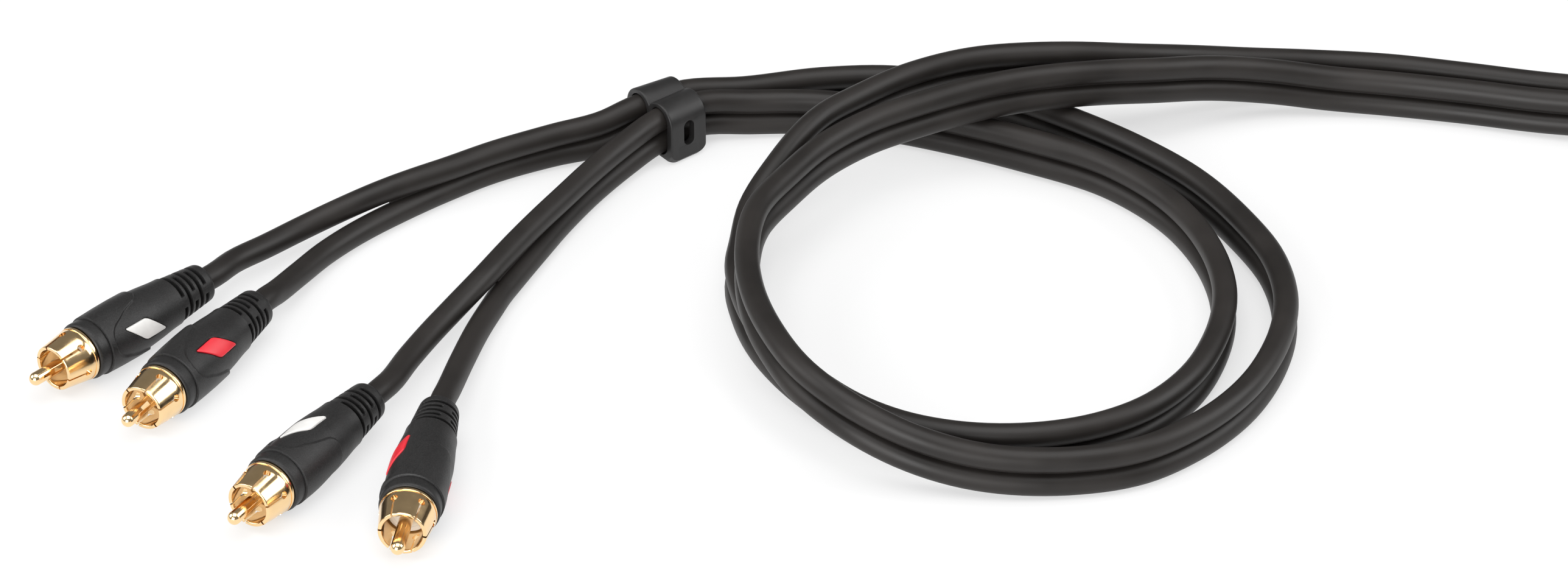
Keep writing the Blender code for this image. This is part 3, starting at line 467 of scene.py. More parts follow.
def add_node(material, kind, **values):
    """New node with values on its sockets, an underscore standing for a blank in a socket's name."""
    node = material.node_tree.nodes.new(kind)
    for socket, value in values.items():
        node.inputs[socket.replace("_", " ")].default_value = value
    return node


def math_of(material, operation, first, second):
    """Result of a maths node on a socket and another socket or a number."""
    node = add_node(material, "ShaderNodeMath")
    node.operation = operation
    material.node_tree.links.new(first, node.inputs[0])
    if isinstance(second, float):
        node.inputs[1].default_value = second
    else:
        material.node_tree.links.new(second, node.inputs[1])
    return node.outputs["Value"]


def noise_of(material, source, scale, stretch=(1.0, 1.0, 1.0), detail=3.0):
    """Noise read from a coordinate socket of one of the piece's own maps."""
    links = material.node_tree.links
    mapping = add_node(material, "ShaderNodeMapping", Scale=stretch)
    noise = add_node(material, "ShaderNodeTexNoise", Scale=scale, Detail=detail, Roughness=NOISE_ROUGHNESS)
    links.new(source, mapping.inputs["Vector"])
    links.new(mapping.outputs["Vector"], noise.inputs["Vector"])
    return noise.outputs["Fac"]


def uneven(material, shader, colour, tint, rough):
    """Colour and roughness driven by noises: each a socket, then the low and the high factor or value."""
    links = material.node_tree.links
    ramp = add_node(material, "ShaderNodeValToRGB")
    for element, place, factor in zip(ramp.color_ramp.elements, NOISE_SPAN, tint[1:]):
        element.position = place
        element.color = (*(min(1.0, channel * factor) for channel in colour[:3]), 1.0)
    links.new(tint[0], ramp.inputs["Fac"])
    links.new(ramp.outputs["Color"], shader.inputs["Base Color"])
    span = add_node(material, "ShaderNodeMapRange", From_Min=NOISE_SPAN[0], From_Max=NOISE_SPAN[1],
                    To_Min=rough[1], To_Max=rough[2])
    links.new(rough[0], span.inputs["Value"])
    links.new(span.outputs["Result"], shader.inputs["Roughness"])


def bumped(material, shader, *layers):
    """Chain of bumps, each (height socket, strength, distance)."""
    links = material.node_tree.links
    before = None
    for height, strength, distance in layers:
        bump = add_node(material, "ShaderNodeBump", Strength=strength, Distance=distance)
        links.new(height, bump.inputs["Height"])
        if before is not None:
            links.new(before, bump.inputs["Normal"])
        before = bump.outputs["Normal"]
    links.new(before, shader.inputs["Normal"])


def place_of(material):
    """Object coordinates."""
    return add_node(material, "ShaderNodeTexCoord").outputs["Object"]


def lay_of(material):
    """The piece's own lay map."""
    uv = add_node(material, "ShaderNodeUVMap")
    uv.uv_map = "lay"
    return uv.outputs["UV"]


def finish_named(name):
    """Material already made under a name, or a new one."""
    return bpy.data.materials.get(name) or FINISHES[name](name)


def floor_finish(colour):
    """Matt pale floor, part of it plain white to the lens and to mirrors, so shadows stay faint."""
    material, shader = new_material("floor paint", colour, 0.9, specular=0.1)
    links = material.node_tree.links
    path = add_node(material, "ShaderNodeLightPath")
    seen = path.outputs["Is Camera Ray"]
    for ray in ("Is Glossy Ray", "Is Transmission Ray"):
        seen = math_of(material, "MAXIMUM", seen, path.outputs[ray])
    glow = add_node(material, "ShaderNodeEmission")
    mix = add_node(material, "ShaderNodeMixShader")
    links.new(math_of(material, "MULTIPLY", seen, FLOOR_LIFT), mix.inputs["Fac"])
    links.new(shader.outputs["BSDF"], mix.inputs[1])
    links.new(glow.outputs["Emission"], mix.inputs[2])
    links.new(mix.outputs["Shader"], material.node_tree.nodes["Material Output"].inputs["Surface"])
    return material


def jacket_finish(name):
    """Black flexible jacket: fine drawn lines along it and a soft uneven satin."""
    colour = tuple(bpy.context.scene.lead_jacket.colour)
    material, shader = new_material(name, colour, 0.45, specular=0.3)
    place = place_of(material)
    drawn = noise_of(material, lay_of(material), 2600.0, stretch=(1.0, 0.02, 1.0), detail=2.0)
    grain = noise_of(material, place, 3200.0, detail=2.0)
    broad = noise_of(material, place, 60.0, detail=2.0)
    uneven(material, shader, colour, (broad, 0.8, 1.35), (broad, 0.4, 0.5))
    bumped(material, shader, (drawn, 0.25, 0.04 * MM), (grain, 0.2, 0.04 * MM))
    return material


def moulding_finish(name):
    """Dark warm moulding with a fine spark-eroded grain, smoother on the front collar."""
    colour = tuple(bpy.context.scene.lead_plug.moulding)
    material, shader = new_material(name, colour, 0.44, specular=0.34)
    links = material.node_tree.links
    place = place_of(material)
    grain = noise_of(material, place, 3400.0, detail=2.0)
    speck = noise_of(material, place, 1500.0, detail=1.0)
    broad = noise_of(material, place, 120.0)
    uneven(material, shader, colour, (grain, 0.6, 1.6), (broad, 0.38, 0.5))
    split = add_node(material, "ShaderNodeSeparateXYZ")
    links.new(lay_of(material), split.inputs["Vector"])
    fade = add_node(material, "ShaderNodeMapRange", From_Min=COLLAR_START, From_Max=COLLAR_START + 0.2 * MM,
                    To_Min=1.0, To_Max=0.25)
    links.new(split.outputs["Y"], fade.inputs["Value"])
    calm = math_of(material, "MULTIPLY", grain, fade.outputs["Result"])
    bumped(material, shader, (calm, 0.6, 0.07 * MM), (speck, 0.15, 0.06 * MM))
    return material


def keeper_finish(name):
    """Smooth satin moulding of the keeper with faint flow marks."""
    colour = tuple(bpy.context.scene.lead_plug.moulding)
    material, shader = new_material(name, colour, 0.4, specular=0.36)
    place = place_of(material)
    flow = noise_of(material, place, 220.0, stretch=(1.0, 1.0, 0.4))
    fine = noise_of(material, place, 2400.0, detail=2.0)
    uneven(material, shader, colour, (flow, 0.8, 1.3), (flow, 0.36, 0.48))
    bumped(material, shader, (fine, 0.25, 0.04 * MM), (flow, 0.2, 0.1 * MM))
    return material


def gold_finish(name):
    """Polished gold plating with faint turning lines and handling haze."""
    colour = tuple(bpy.context.scene.lead_plug.plating)
    material, shader = new_material(name, colour, 0.14, metallic=1.0)
    place = place_of(material)
    haze = noise_of(material, place, 260.0)
    fine = noise_of(material, place, 2200.0, detail=2.0)
    uneven(material, shader, colour, (haze, 0.97, 1.04), (haze, 0.1, 0.2))
    bumped(material, shader, (fine, 0.06, 0.02 * MM))
    return material


def insulator_finish(name):
    """Off-white insulating plastic."""
    colour = (0.80, 0.78, 0.72, 1.0)
    material, shader = new_material(name, colour, 0.45)
    broad = noise_of(material, place_of(material), 700.0)
    uneven(material, shader, colour, (broad, 0.93, 1.04), (broad, 0.4, 0.52))
    bumped(material, shader, (broad, 0.1, 0.03 * MM))
    return material


def marker_finish(name):
    """Semi-gloss inlay with a slight mould texture; the first word of its name is its colour setting."""
    colour = tuple(getattr(bpy.context.scene.lead_plug, name.split()[0]))
    material, shader = new_material(name, colour, 0.36)
    place = place_of(material)
    broad = noise_of(material, place, 300.0)
    fine = noise_of(material, place, 3600.0, detail=2.0)
    uneven(material, shader, colour, (broad, 0.94, 1.05), (broad, 0.3, 0.42))
    bumped(material, shader, (fine, 0.2, 0.03 * MM))
    return material


def strap_finish(name):
    """Woven black strap: crossed waves."""
    colour = (0.018, 0.018, 0.019, 1.0)
    material, shader = new_material(name, colour, 0.8, specular=0.3)
    place = place_of(material)
    waves = []
    for direction in ("X", "Z"):
        wave = add_node(material, "ShaderNodeTexWave", Scale=900.0, Distortion=0.4)
        wave.bands_direction = direction
        material.node_tree.links.new(place, wave.inputs["Vector"])
        waves.append(wave.outputs["Fac"])
    uneven(material, shader, colour, (waves[0], 0.6, 1.8), (waves[1], 0.7, 0.9))
    bumped(material, shader, *((wave, 0.4, 0.1 * MM) for wave in waves))
    return material


FINISHES = {
    "jacket satin": jacket_finish,
    "grained moulding": moulding_finish,
    "smooth moulding": keeper_finish,
    "polished gold": gold_finish,
    "insulator plastic": insulator_finish,
    "white marker": marker_finish,
    "red marker": marker_finish,
    "woven strap": strap_finish,
}


def plug_matrix(mouth, yaw, roll):
    """Places a plug's own axis: X toward the contact tip, Z at its top, from the rear of its relief."""
    turn = Matrix.Rotation(math.radians(yaw), 4, "Z") @ Matrix.Rotation(math.radians(roll), 4, "X")
    along = turn.to_3x3().col[0]
    x, y, z = shifted(np.array(mouth) * MM)
    return Matrix.Translation((x - along[0] * MOUTH_STATION, y - along[1] * MOUTH_STATION, z)) @ turn


def turned_grid(rows, columns):
    """Stations, radii and turns of a profile turned about the plug's axis, as grids of one shape."""
    rows = np.array(rows, dtype=float)
    turns = 2.0 * math.pi * np.arange(columns) / columns
    return [grid.copy() for grid in np.broadcast_arrays(rows[:, :1], rows[:, 1:], turns)]


def ring_points(u, r, a):
    """Points (u, r sin a, r cos a); u and r may hold one column for all turns."""
    return np.stack(np.broadcast_arrays(u, r * np.sin(a), r * np.cos(a)), axis=-1).reshape(-1, 3)


def body_radius(u):
    """Plain body: a slow swell from the relief to the front collar."""
    stations = BODY_START + BODY_SHARES * (COLLAR_START - BODY_START)
    return eased(u, stations, BODY_SWELL * BODY_RADIUS, 1.6 * MM)


def relief_starts():
    """Rear edge of each row of slots."""
    pitch = (RELIEF_LENGTH - RELIEF_COLLAR - SLOT_WIDTH) / (RELIEF_ROWS - 1)
    return [RELIEF_COLLAR + row * pitch for row in range(RELIEF_ROWS)]


def relief_cut(u, a):
    """Depth of the relief slots: two arcs in each row, every row a quarter turn from the last."""
    depth = np.zeros_like(u)
    for row, rear in enumerate(relief_starts()):
        along = edge(u - rear, SLOT_EDGE) * edge(rear + SLOT_WIDTH - u, SLOT_EDGE)
        off = 0.5 * np.abs(np.angle(np.exp(2j * (a - 0.5 * math.pi * (row % 2)))))
        depth = np.maximum(depth, along * edge((0.5 * SLOT_ARC - off) * BODY_RADIUS, SLOT_EDGE))
    return depth * SLOT_DEPTH


def skin_rise(u, y):
    """Height of the raised skin: two tongues, top and bottom, that widen until they meet."""
    start = COLLAR_START - SKIN_LENGTH
    width = eased(u, start + SKIN_SHARES * SKIN_LENGTH, SKIN_SPREAD * BODY_RADIUS, 1.0 * MM)
    inside = np.minimum(width - np.abs(y), u - start)
    return SKIN_HEIGHT * edge(inside, SKIN_EDGE) * edge(COLLAR_START - u, 0.1 * MM)


def marker_distance(u, z):
    """Distance to the slanted round-cornered window, negative inside it."""
    slope = MARKER_SLANT / MARKER_WIDTH
    squeeze = 1.0 / math.hypot(1.0, slope)
    z = z + MARKER_DROP
    along = (np.abs(u - MARKER_STATION - slope * z) - 0.5 * MARKER_LENGTH) * squeeze + MARKER_ROUND
    across = np.abs(z) - 0.5 * MARKER_WIDTH + MARKER_ROUND
    outside = np.hypot(np.maximum(along, 0.0), np.maximum(across, 0.0))
    return outside + np.minimum(np.maximum(along, across), 0.0) - MARKER_ROUND


def housing_rows():
    """Profile from the cord bore over the relief, body and collar into the front recess."""
    rear = [(BORE_DEPTH, 0.0), (BORE_DEPTH, BORE_RADIUS), (0.3 * MM, BORE_RADIUS), (0.08 * MM, 3.15 * MM),
            (0.0, 3.4 * MM), (0.0, 4.05 * MM), (0.06 * MM, 4.3 * MM), (0.2 * MM, 4.5 * MM),
            (0.45 * MM, 4.62 * MM)]
    lips = np.array((-0.16, -0.1, -0.05, 0.0, 0.05, 0.1)) * MM
    slots = [start + spot for start in relief_starts()
             for spot in (*lips, 0.5 * SLOT_WIDTH, *(SLOT_WIDTH - lips[::-1]))]
    plain = (1.0 * MM, 1.6 * MM, *slots, 11.0 * MM)
    outer = [(u, np.interp(u, (0.5 * MM, RELIEF_LENGTH), (4.65 * MM, 5.7 * MM))) for u in plain]
    body = [11.08 * MM, *np.arange(11.2, 18.0, 0.6) * MM, *np.arange(18.0, 34.6, 0.2) * MM]
    body += [COLLAR_START + step * MM for step in (-0.15, -0.08, -0.03, 0.02, 0.07, 0.12)]
    outer += [(u, body_radius(u)) for u in body]
    collar = [(35.1, 6.83), (35.8, 6.86), (36.6, 6.89), (37.2, 6.9), (37.6, 6.89), (37.85, 6.84),
              (38.05, 6.74), (38.2, 6.6), (38.28, 6.45), (38.3, 6.33), (38.27, 6.25), (38.2, 6.2),
              (35.3, 6.2), (35.3, 0.0)]
    return rear, outer, [(u * MM, r * MM) for u, r in collar]


def housing_mesh(columns):
    """Moulded body: radius = profile - relief slots + raised skin - marker pockets - seam at the collar."""
    rear, outer, front = housing_rows()
    u, r, a = turned_grid(rear + outer + front, columns)
    bare = slice(len(rear), len(rear) + len(outer))
    uo, ao, ro = u[bare], a[bare], r[bare]
    y, z = ro * np.sin(ao), ro * np.cos(ao)
    # The window on the left is the one on the right turned half round the plug
    window = marker_distance(uo, z * np.where(y < 0.0, -1.0, 1.0))
    pocket = edge(MARKER_SEAM - window, 0.2 * MM) * POCKET_DEPTH
    seam = 0.14 * MM * np.exp(-((uo - COLLAR_START - 0.05 * MM) / (0.06 * MM)) ** 2)
    r[bare] = ro - relief_cut(uo, ao) + skin_rise(uo, y) - pocket * (uo > BODY_START) - seam
    mesh = put_mesh("housing", ring_points(u, r, a), [grid_quads(len(u), columns)])
    put_lay(mesh, np.stack((a * BODY_RADIUS, u), axis=-1).reshape(-1, 2))
    return clean_mesh(mesh, angle=50.0)


def shell_profile():
    """Outer and inner rows of the spring shell; from the keyhole up they pair off row by row."""
    hole = MOUTH_STATION - PETAL_HOLE_DEPTH
    neck = math.asin(0.5 * PETAL_SLOT / PETAL_HOLE)
    bow = hole - PETAL_HOLE * np.cos(np.linspace(0.0, math.pi - neck, 13))
    cone = np.concatenate((bow, np.linspace(bow[-1], MOUTH_STATION - 0.3 * MM, 9)[1:]))
    ends = (GROOVE_START + GROOVE_WIDTH, MOUTH_STATION - 0.3 * MM)
    base = [(SKIRT_START, SKIRT_RADIUS), (SHELL_BASE, SKIRT_RADIUS),
            (SHELL_BASE, SHELL_BASE_RADIUS - 0.16 * MM)]
    band = ((0.0, 0.12), (0.05, 0.05), (0.14, 0.0), (0.76, 0.0), (0.85, 0.02), (0.9, 0.07), (0.9, 0.2),
            (0.96, 0.22), (1.19, 0.22), (1.25, 0.2), (1.25, 0.13), (1.3, 0.11))
    base += [(SHELL_BASE + u * MM, SHELL_BASE_RADIUS - drop * MM) for u, drop in band]
    outer = [(u, np.interp(u, ends, (SHELL_BASE_RADIUS - 0.1 * MM, MOUTH_RADIUS))) for u in cone]
    inner = [(u, np.interp(u, ends, (SKIRT_RADIUS - SHELL_WALL, MOUTH_RADIUS - SHELL_WALL))) for u in cone]
    rim = ((-0.16, 0.03), (-0.06, 0.1), (0.0, 0.21))
    outer += [(MOUTH_STATION + u * MM, MOUTH_RADIUS - drop * MM) for u, drop in rim]
    inner += [(MOUTH_STATION + u * MM, MOUTH_RADIUS - SHELL_WALL + drop * MM) for u, drop in rim]
    return base, outer, inner


def shell_mesh():
    """Spring shell: six petals whose side edges follow a keyhole, joined by the plain band below."""
    base, outer, inner = shell_profile()
    hole = MOUTH_STATION - PETAL_HOLE_DEPTH
    lower = [(GROOVE_START, SKIRT_RADIUS - SHELL_WALL), (SKIRT_START, SKIRT_RADIUS - SHELL_WALL)]
    profile = np.array(base + outer + inner[::-1] + lower)
    u, r = profile[:, 0], profile[:, 1]
    half = np.sqrt(np.clip(PETAL_HOLE ** 2 - (u - hole) ** 2, 0.0, None))
    half = np.where(u > hole, np.maximum(half, 0.5 * PETAL_SLOT), half)
    half[:len(base)] = 0.0
    half[len(base) + len(outer) + len(inner):] = 0.0
    half[[len(base), len(base) + len(outer) + len(inner) - 1]] = 0.0
    narrow = np.arcsin(half / r)[:, None]
    columns = 25
    share = np.linspace(0.0, 1.0, columns)[None, :]
    step = 2.0 * math.pi / PETALS
    pair = np.arange(len(outer) - 1)
    out_row = len(base) + pair
    in_row = len(base) + len(outer) + len(inner) - 1 - pair
    wall = np.stack((out_row, out_row + 1, in_row - 1, in_row), axis=-1) * columns
    points, faces = [], []
    for petal in range(PETALS):
        first = petal * len(profile) * columns
        turns = petal * step + narrow + share * (step - 2.0 * narrow)
        points.append(ring_points(u[:, None], r[:, None], turns))
        faces.append(grid_quads(len(profile), columns, wrap_rows=True, wrap_columns=False, first=first))
        faces += [wall + first, wall + first + columns - 1]
    return clean_mesh(put_mesh("shell", np.vstack(points), faces), angle=35.0)


def pin_radius(u):
    """Straight shaft that ends in a ball."""
    ball = PIN_TIP - PIN_RADIUS
    return np.where(u < ball, PIN_RADIUS, np.sqrt(np.clip(PIN_RADIUS ** 2 - (u - ball) ** 2, 0.0, None)))


def pin_mesh():
    """Contact: a round shaft split by a tapering slot into two halves of D section, closed at the ball."""
    rear, front = PIN_SLOT_ENDS
    ball = PIN_TIP - PIN_RADIUS
    arc, flank = 33, 9

    def ring(u, gap):
        """Turns of a full ring: upper arc, right flank, lower arc and left flank, kept off the slot."""
        rim = math.acos(min(0.99, gap / float(pin_radius(u))))
        upper = np.linspace(-rim, rim, arc)
        right = np.linspace(rim, math.pi - rim, flank)[1:-1]
        lower = np.linspace(math.pi - rim, math.pi + rim, arc)
        left = np.linspace(math.pi + rim, 2.0 * math.pi - rim, flank)[1:-1]
        return np.concatenate((upper, right, lower, left))

    def solid(stations, gap):
        """Points of full rings and the shape of their grid."""
        turns = np.array([ring(u, gap) for u in stations])
        u = np.array(stations)[:, None]
        return ring_points(u, pin_radius(u), turns), turns.shape

    gaps = [0.5 * width for width in PIN_SLOT_WIDTHS]
    shaft, shaft_shape = solid([PIN_START, 40.0 * MM, rear], gaps[0])
    swing = np.linspace(math.asin((front - ball) / PIN_RADIUS), 0.5 * math.pi, 12)[:-1]
    nose, nose_shape = solid([ball + PIN_RADIUS * math.sin(t) for t in swing], gaps[1])
    points = [shaft, nose]
    faces = [grid_quads(*shaft_shape), grid_quads(*nose_shape, first=len(shaft))]
    count = len(shaft) + len(nose)
    total = shaft_shape[1]
    # Caps: a fan at the hidden end and one at the ball
    for first, station in ((0, PIN_START), (count - total, PIN_TIP)):
        points.append(np.array([(station, 0.0, 0.0)]))
        faces.append(fan(first, total, count))
        count += 1
    # End walls of the slot: the two flanks joined straight across
    right = np.arange(arc - 1, arc - 1 + flank)
    left = np.concatenate((np.arange(2 * arc + flank - 3, total), [0]))[::-1]
    wall = np.stack((right[:-1], right[1:], left[1:], left[:-1]), axis=-1)
    faces += [wall + (shaft_shape[0] - 1) * total, wall + len(shaft)]
    # Halves of the split part, each an arc and a flat
    stations = np.concatenate((np.linspace(rear, ball, 12), np.linspace(ball, front, 4)[1:]))
    gap = np.interp(stations, PIN_SLOT_ENDS, gaps)
    turns = np.arccos(gap / pin_radius(stations))[:, None] * np.linspace(-1.0, 1.0, arc)
    for turn in (0.0, math.pi):
        points.append(ring_points(stations[:, None], pin_radius(stations)[:, None], turn + turns))
        faces.append(grid_quads(len(stations), arc, first=count))
        count += len(stations) * arc
    return clean_mesh(put_mesh("pin", np.vstack(points), faces), merge=2e-6, angle=40.0)


def disc_mesh():
    """Insulating disc with a shallow ring moulded into its face."""
    profile = [(DISC_REAR, DISC_BORE), (DISC_REAR, DISC_RADIUS), (DISC_FRONT - 0.2 * MM, DISC_RADIUS),
               (DISC_FRONT - 0.06 * MM, DISC_RADIUS - 0.05 * MM), (DISC_FRONT, DISC_RADIUS - 0.18 * MM)]
    profile += [(DISC_FRONT + drop * MM, r * MM) for drop, r in
                ((0.0, 3.7), (-0.05, 3.62), (-0.25, 3.55), (-0.25, 2.75), (-0.05, 2.68), (0.0, 2.6),
                 (0.0, 2.0), (-0.04, 1.9), (-0.12, 1.85))]
    u, r, a = turned_grid(profile, 96)
    mesh = put_mesh("disc", ring_points(u, r, a), [grid_quads(len(profile), 96, wrap_rows=True)])
    return clean_mesh(mesh, angle=40.0)


def marker_outline(count=120):
    """Evenly spaced points round the slanted window, as station and height."""
    reach = np.array((0.5 * MARKER_LENGTH - MARKER_ROUND, 0.5 * MARKER_WIDTH - MARKER_ROUND))
    turns = (np.arange(48) + 0.5) * 2.0 * math.pi / 48
    loop = np.column_stack((np.cos(turns), np.sin(turns)))
    loop = reach * np.sign(loop) + MARKER_ROUND * loop
    loop = np.vstack((loop, loop[:1]))
    run = run_along(loop)
    marks = np.linspace(0.0, run[-1], count, endpoint=False)
    along, across = (np.interp(marks, run, column) for column in loop.T)
    return np.column_stack((along + MARKER_SLANT / MARKER_WIDTH * across, across))


def marker_mesh():
    """Inlay: rings drawn in from the outline, crowned with the body and rounded at the edge."""
    outline = marker_outline()
    shares = np.array((0.0, 0.25, 0.5, 0.7, 0.82, 0.9, 0.945, 0.97, 0.985, 0.995, 1.0))
    depth = np.clip((1.0 - shares) * 2.6 * MM / (0.2 * MM), 0.0, 1.0)
    lift = MARKER_RISE - 0.18 * MM * (1.0 - np.sqrt(1.0 - (1.0 - depth) ** 2))
    shares = np.concatenate((shares, (1.0, 0.0)))
    lift = np.concatenate((lift, (-POCKET_DEPTH + 0.05 * MM,) * 2))
    flat = shares[:, None, None] * outline[None, :, :]
    u = MARKER_STATION + flat[..., 0]
    z = flat[..., 1] - MARKER_DROP
    r = body_radius(u) + lift[:, None]
    points = np.stack((u, np.sqrt(r * r - z * z), z), axis=-1).reshape(-1, 3)
    return clean_mesh(put_mesh("marker", points, [grid_quads(len(shares), len(outline))]), angle=50.0)


def keeper_outline(spacing, inset, lift):
    """Outer section: foot, front wall, two arches and rear wall; lift cuts both walls' lower corners."""
    radius = 0.5 * TWIN_WIDTH + CHANNEL_GAP + KEEPER_WALL - inset
    top = KEEPER_FLOOR + TWIN_RISE + 0.5 * TWIN_WIDTH + CHANNEL_GAP + KEEPER_ROOF - KEEPER_WALL
    half = 0.5 * spacing
    heights, _ = window_rows()
    wall = np.concatenate(([inset + KEEPER_FOOT + lift], heights))
    y = half + np.where(wall > top, np.sqrt(np.clip(radius ** 2 - (wall - top) ** 2, 0.0, None)), radius)
    start = math.asin(min(1.0, max(0.0, (heights[-1] - top) / radius)))
    turns = np.linspace(start, math.pi - math.acos(min(1.0, half / radius)), 22)[1:]
    arch = np.column_stack((half + radius * np.cos(turns), top + radius * np.sin(turns)))
    foot = ((half + radius - KEEPER_FOOT - lift, inset + 0.35 * lift),)
    side = np.vstack((foot, np.column_stack((y, wall)), arch))
    front = side * (-1.0, 1.0)
    return np.vstack((front, side[-2::-1]))


def window_rows():
    """Heights of the window's rows, close together over its round ends, and half its width at each."""
    turns = np.linspace(0.0, 0.5 * math.pi, 9)
    upper = 0.5 * (WINDOW_HEIGHT - WINDOW_WIDTH) + 0.5 * WINDOW_WIDTH * np.sin(turns)
    half = 0.5 * WINDOW_WIDTH * np.cos(turns)
    half[-1] = 0.0
    return WINDOW_MIDDLE + np.concatenate((-upper[::-1], upper)), np.concatenate((half[::-1], half))


def channel_section(spacing, side, flare):
    """Stadium on end; its outer flank has the window's heights, so it pairs with the front wall."""
    radius = 0.5 * TWIN_WIDTH + CHANNEL_GAP + flare
    low = KEEPER_FLOOR + 0.5 * TWIN_WIDTH + CHANNEL_GAP
    high = low + TWIN_RISE
    heights, _ = window_rows()
    below, above = np.clip(low - heights, 0.0, None), np.clip(heights - high, 0.0, None)
    flank = np.column_stack((np.sqrt(radius ** 2 - (below + above) ** 2), heights))
    first = math.asin(min(1.0, above[-1] / radius))
    last = math.asin(min(1.0, below[0] / radius))
    over = np.linspace(first, math.pi, 18)[1:]
    under = np.linspace(math.pi, 2.0 * math.pi - last, 18)[:-1]
    arcs = np.vstack((np.column_stack((radius * np.cos(over), high + radius * np.sin(over))),
                      np.column_stack((radius * np.cos(under), low + radius * np.sin(under)))))
    outline = np.vstack((flank, arcs))
    return outline * (side, 1.0) + (0.5 * side * spacing, 0.0)


def keeper_mesh():
    """Keeper: outer shell and channels swept to both rims, split at the middle round the window."""
    half = 0.5 * KEEPER_LENGTH
    bend = np.linspace(0.0, 0.5 * math.pi, 6)
    start = half - KEEPER_CORNER
    turn = np.linspace(0.0, math.asin(1.0 - KEEPER_RIM / KEEPER_CORNER), 6)[:-1]
    rows = [(start + KEEPER_CORNER * math.sin(t), 0.0) for t in turn]
    rows += [(half - KEEPER_RIM + KEEPER_RIM * math.sin(t), KEEPER_RIM * (1.0 - math.cos(t))) for t in bend]
    points, faces, count = [], [], 0
    _, window = window_rows()
    gate = slice(2, 2 + len(window))

    def spacing_at(x):
        """Distance between the two channels, which draw together along the keeper."""
        return np.interp(x, (-half, half), KEEPER_SPACINGS)

    for end in (-1.0, 1.0):
        loops = []
        for kind in ("shell", "front", "rear"):
            def section(x, inset):
                """Outline of this kind at a station, drawn in at the rim."""
                if kind == "shell":
                    over = min(max(abs(x) - start, 0.0), 0.98 * KEEPER_CORNER)
                    lift = KEEPER_CORNER - math.sqrt(KEEPER_CORNER ** 2 - over ** 2)
                    return keeper_outline(spacing_at(x), inset, lift)
                return channel_section(spacing_at(x), -1.0 if kind == "front" else 1.0, 0.3 * inset)

            middle = section(0.0, 0.0)
            split = np.zeros(len(middle))
            if kind == "shell":
                split[gate] = window
            elif kind == "front":
                split[:len(window)] = window
            rings = [np.column_stack((end * split, middle))]
            for x, inset in rows:
                outline = section(end * x, inset)
                rings.append(np.column_stack((np.full(len(outline), end * x), outline)))
            grid = np.array(rings)
            points.append(grid.reshape(-1, 3))
            faces.append(grid_quads(*grid.shape[:2], first=count))
            loops.append((count, grid))
            count += len(points[-1])
        # Window walls between the shell's and the front channel's middle rows
        shell_gate = loops[0][0] + np.arange(gate.start, gate.stop)
        channel_gate = loops[1][0] + np.arange(len(window))
        gates = (shell_gate[:-1], shell_gate[1:], channel_gate[1:], channel_gate[:-1])
        faces.append(np.stack(gates, axis=-1))
        # End face between the rim and the two channels
        rims = [grid[-1] for _, grid in loops]
        picks = np.concatenate([first + (len(grid) - 1) * len(grid[0]) + np.arange(len(grid[0]))
                                for first, grid in loops])
        flat = [[Vector((y, z, 0.0)) for _, y, z in rim] for rim in rims]
        faces.append(picks[np.array(tessellate_polygon(flat))])
    return clean_mesh(put_mesh("keeper", np.vstack(points), faces), angle=38.0)


def tie_mesh():
    """Strap: a rounded band section carried round a rounded oblong."""
    width = 0.5 * TIED_SPACING + 0.5 * TWIN_WIDTH + FIT_GAP
    height = 0.5 * (TWIN_RISE + TWIN_WIDTH) + FIT_GAP
    middle = TIE_LIFT + 0.5 * (TWIN_RISE + TWIN_WIDTH)
    turns = (np.arange(96) + 0.5) * 2.0 * math.pi / 96
    out = np.column_stack((np.cos(turns), np.sin(turns)))
    corner = np.array((width - TIE_ROUND, height - TIE_ROUND)) * np.sign(out)
    bend = np.linspace(0.0, math.pi, 7)
    lip = 0.5 * TIE_THICKNESS
    reach = 0.5 * TIE_LENGTH - lip + lip * np.sin(bend)
    across = np.concatenate((reach, -reach))
    grow = np.concatenate((lip + lip * np.cos(bend), lip - lip * np.cos(bend)))
    ring = corner[None] + (TIE_ROUND + grow[:, None, None]) * out[None]
    points = np.concatenate((np.repeat(across[:, None, None], 96, axis=1), ring), axis=-1)
    points[..., 2] += middle
    mesh = put_mesh("tie", points.reshape(-1, 3), [grid_quads(len(across), 96, wrap_rows=True)])
    return clean_mesh(mesh, angle=50.0)


def stand_on_plugs(mesh, piece, node, slot=None, finish=None, turn=Matrix()):
    """Stand a copy of a plug's own mesh on every plug; the slot is not used, and without a finish it is one
    of the markers.
    """
    for name, mouth, yaw, roll, marker in PLUGS:
        copy = mesh.copy()
        copy.name = f"{name}_{piece}"
        copy.transform(plug_matrix(mouth, yaw, roll) @ turn)
        material = finish_named(finish or marker.replace("_", " "))
        stand_for(copy.name, copy, material, slot or marker, f"{name}_{node}")


def set_down(mesh, place, yaw):
    """Write a place on the floor and a heading into a mesh's points."""
    mesh.transform(Matrix.Translation(Vector(shifted((*place, 0.0)))) @ Matrix.Rotation(yaw, 4, "Z"))
    return mesh


def lay_cord(name, centres, leans, section, diameter, *nodes, **more):
    mesh = swept(name, centres, leans, section)
    piece = stand_for(name, mesh, finish_named("jacket satin"), "jacket", *nodes)


class LEAD_OT_housings(bpy.types.Operator):
    """Make the four grained plug bodies with their slotted reliefs"""

    bl_idname = "lead.housings"
    bl_label = "Plug bodies"

    def execute(self, context):
        body = housing_mesh(context.scene.lead_plug.columns)
        stand_on_plugs(body, "body", "housing", "black_moulding", "grained moulding")
        return {"FINISHED"}


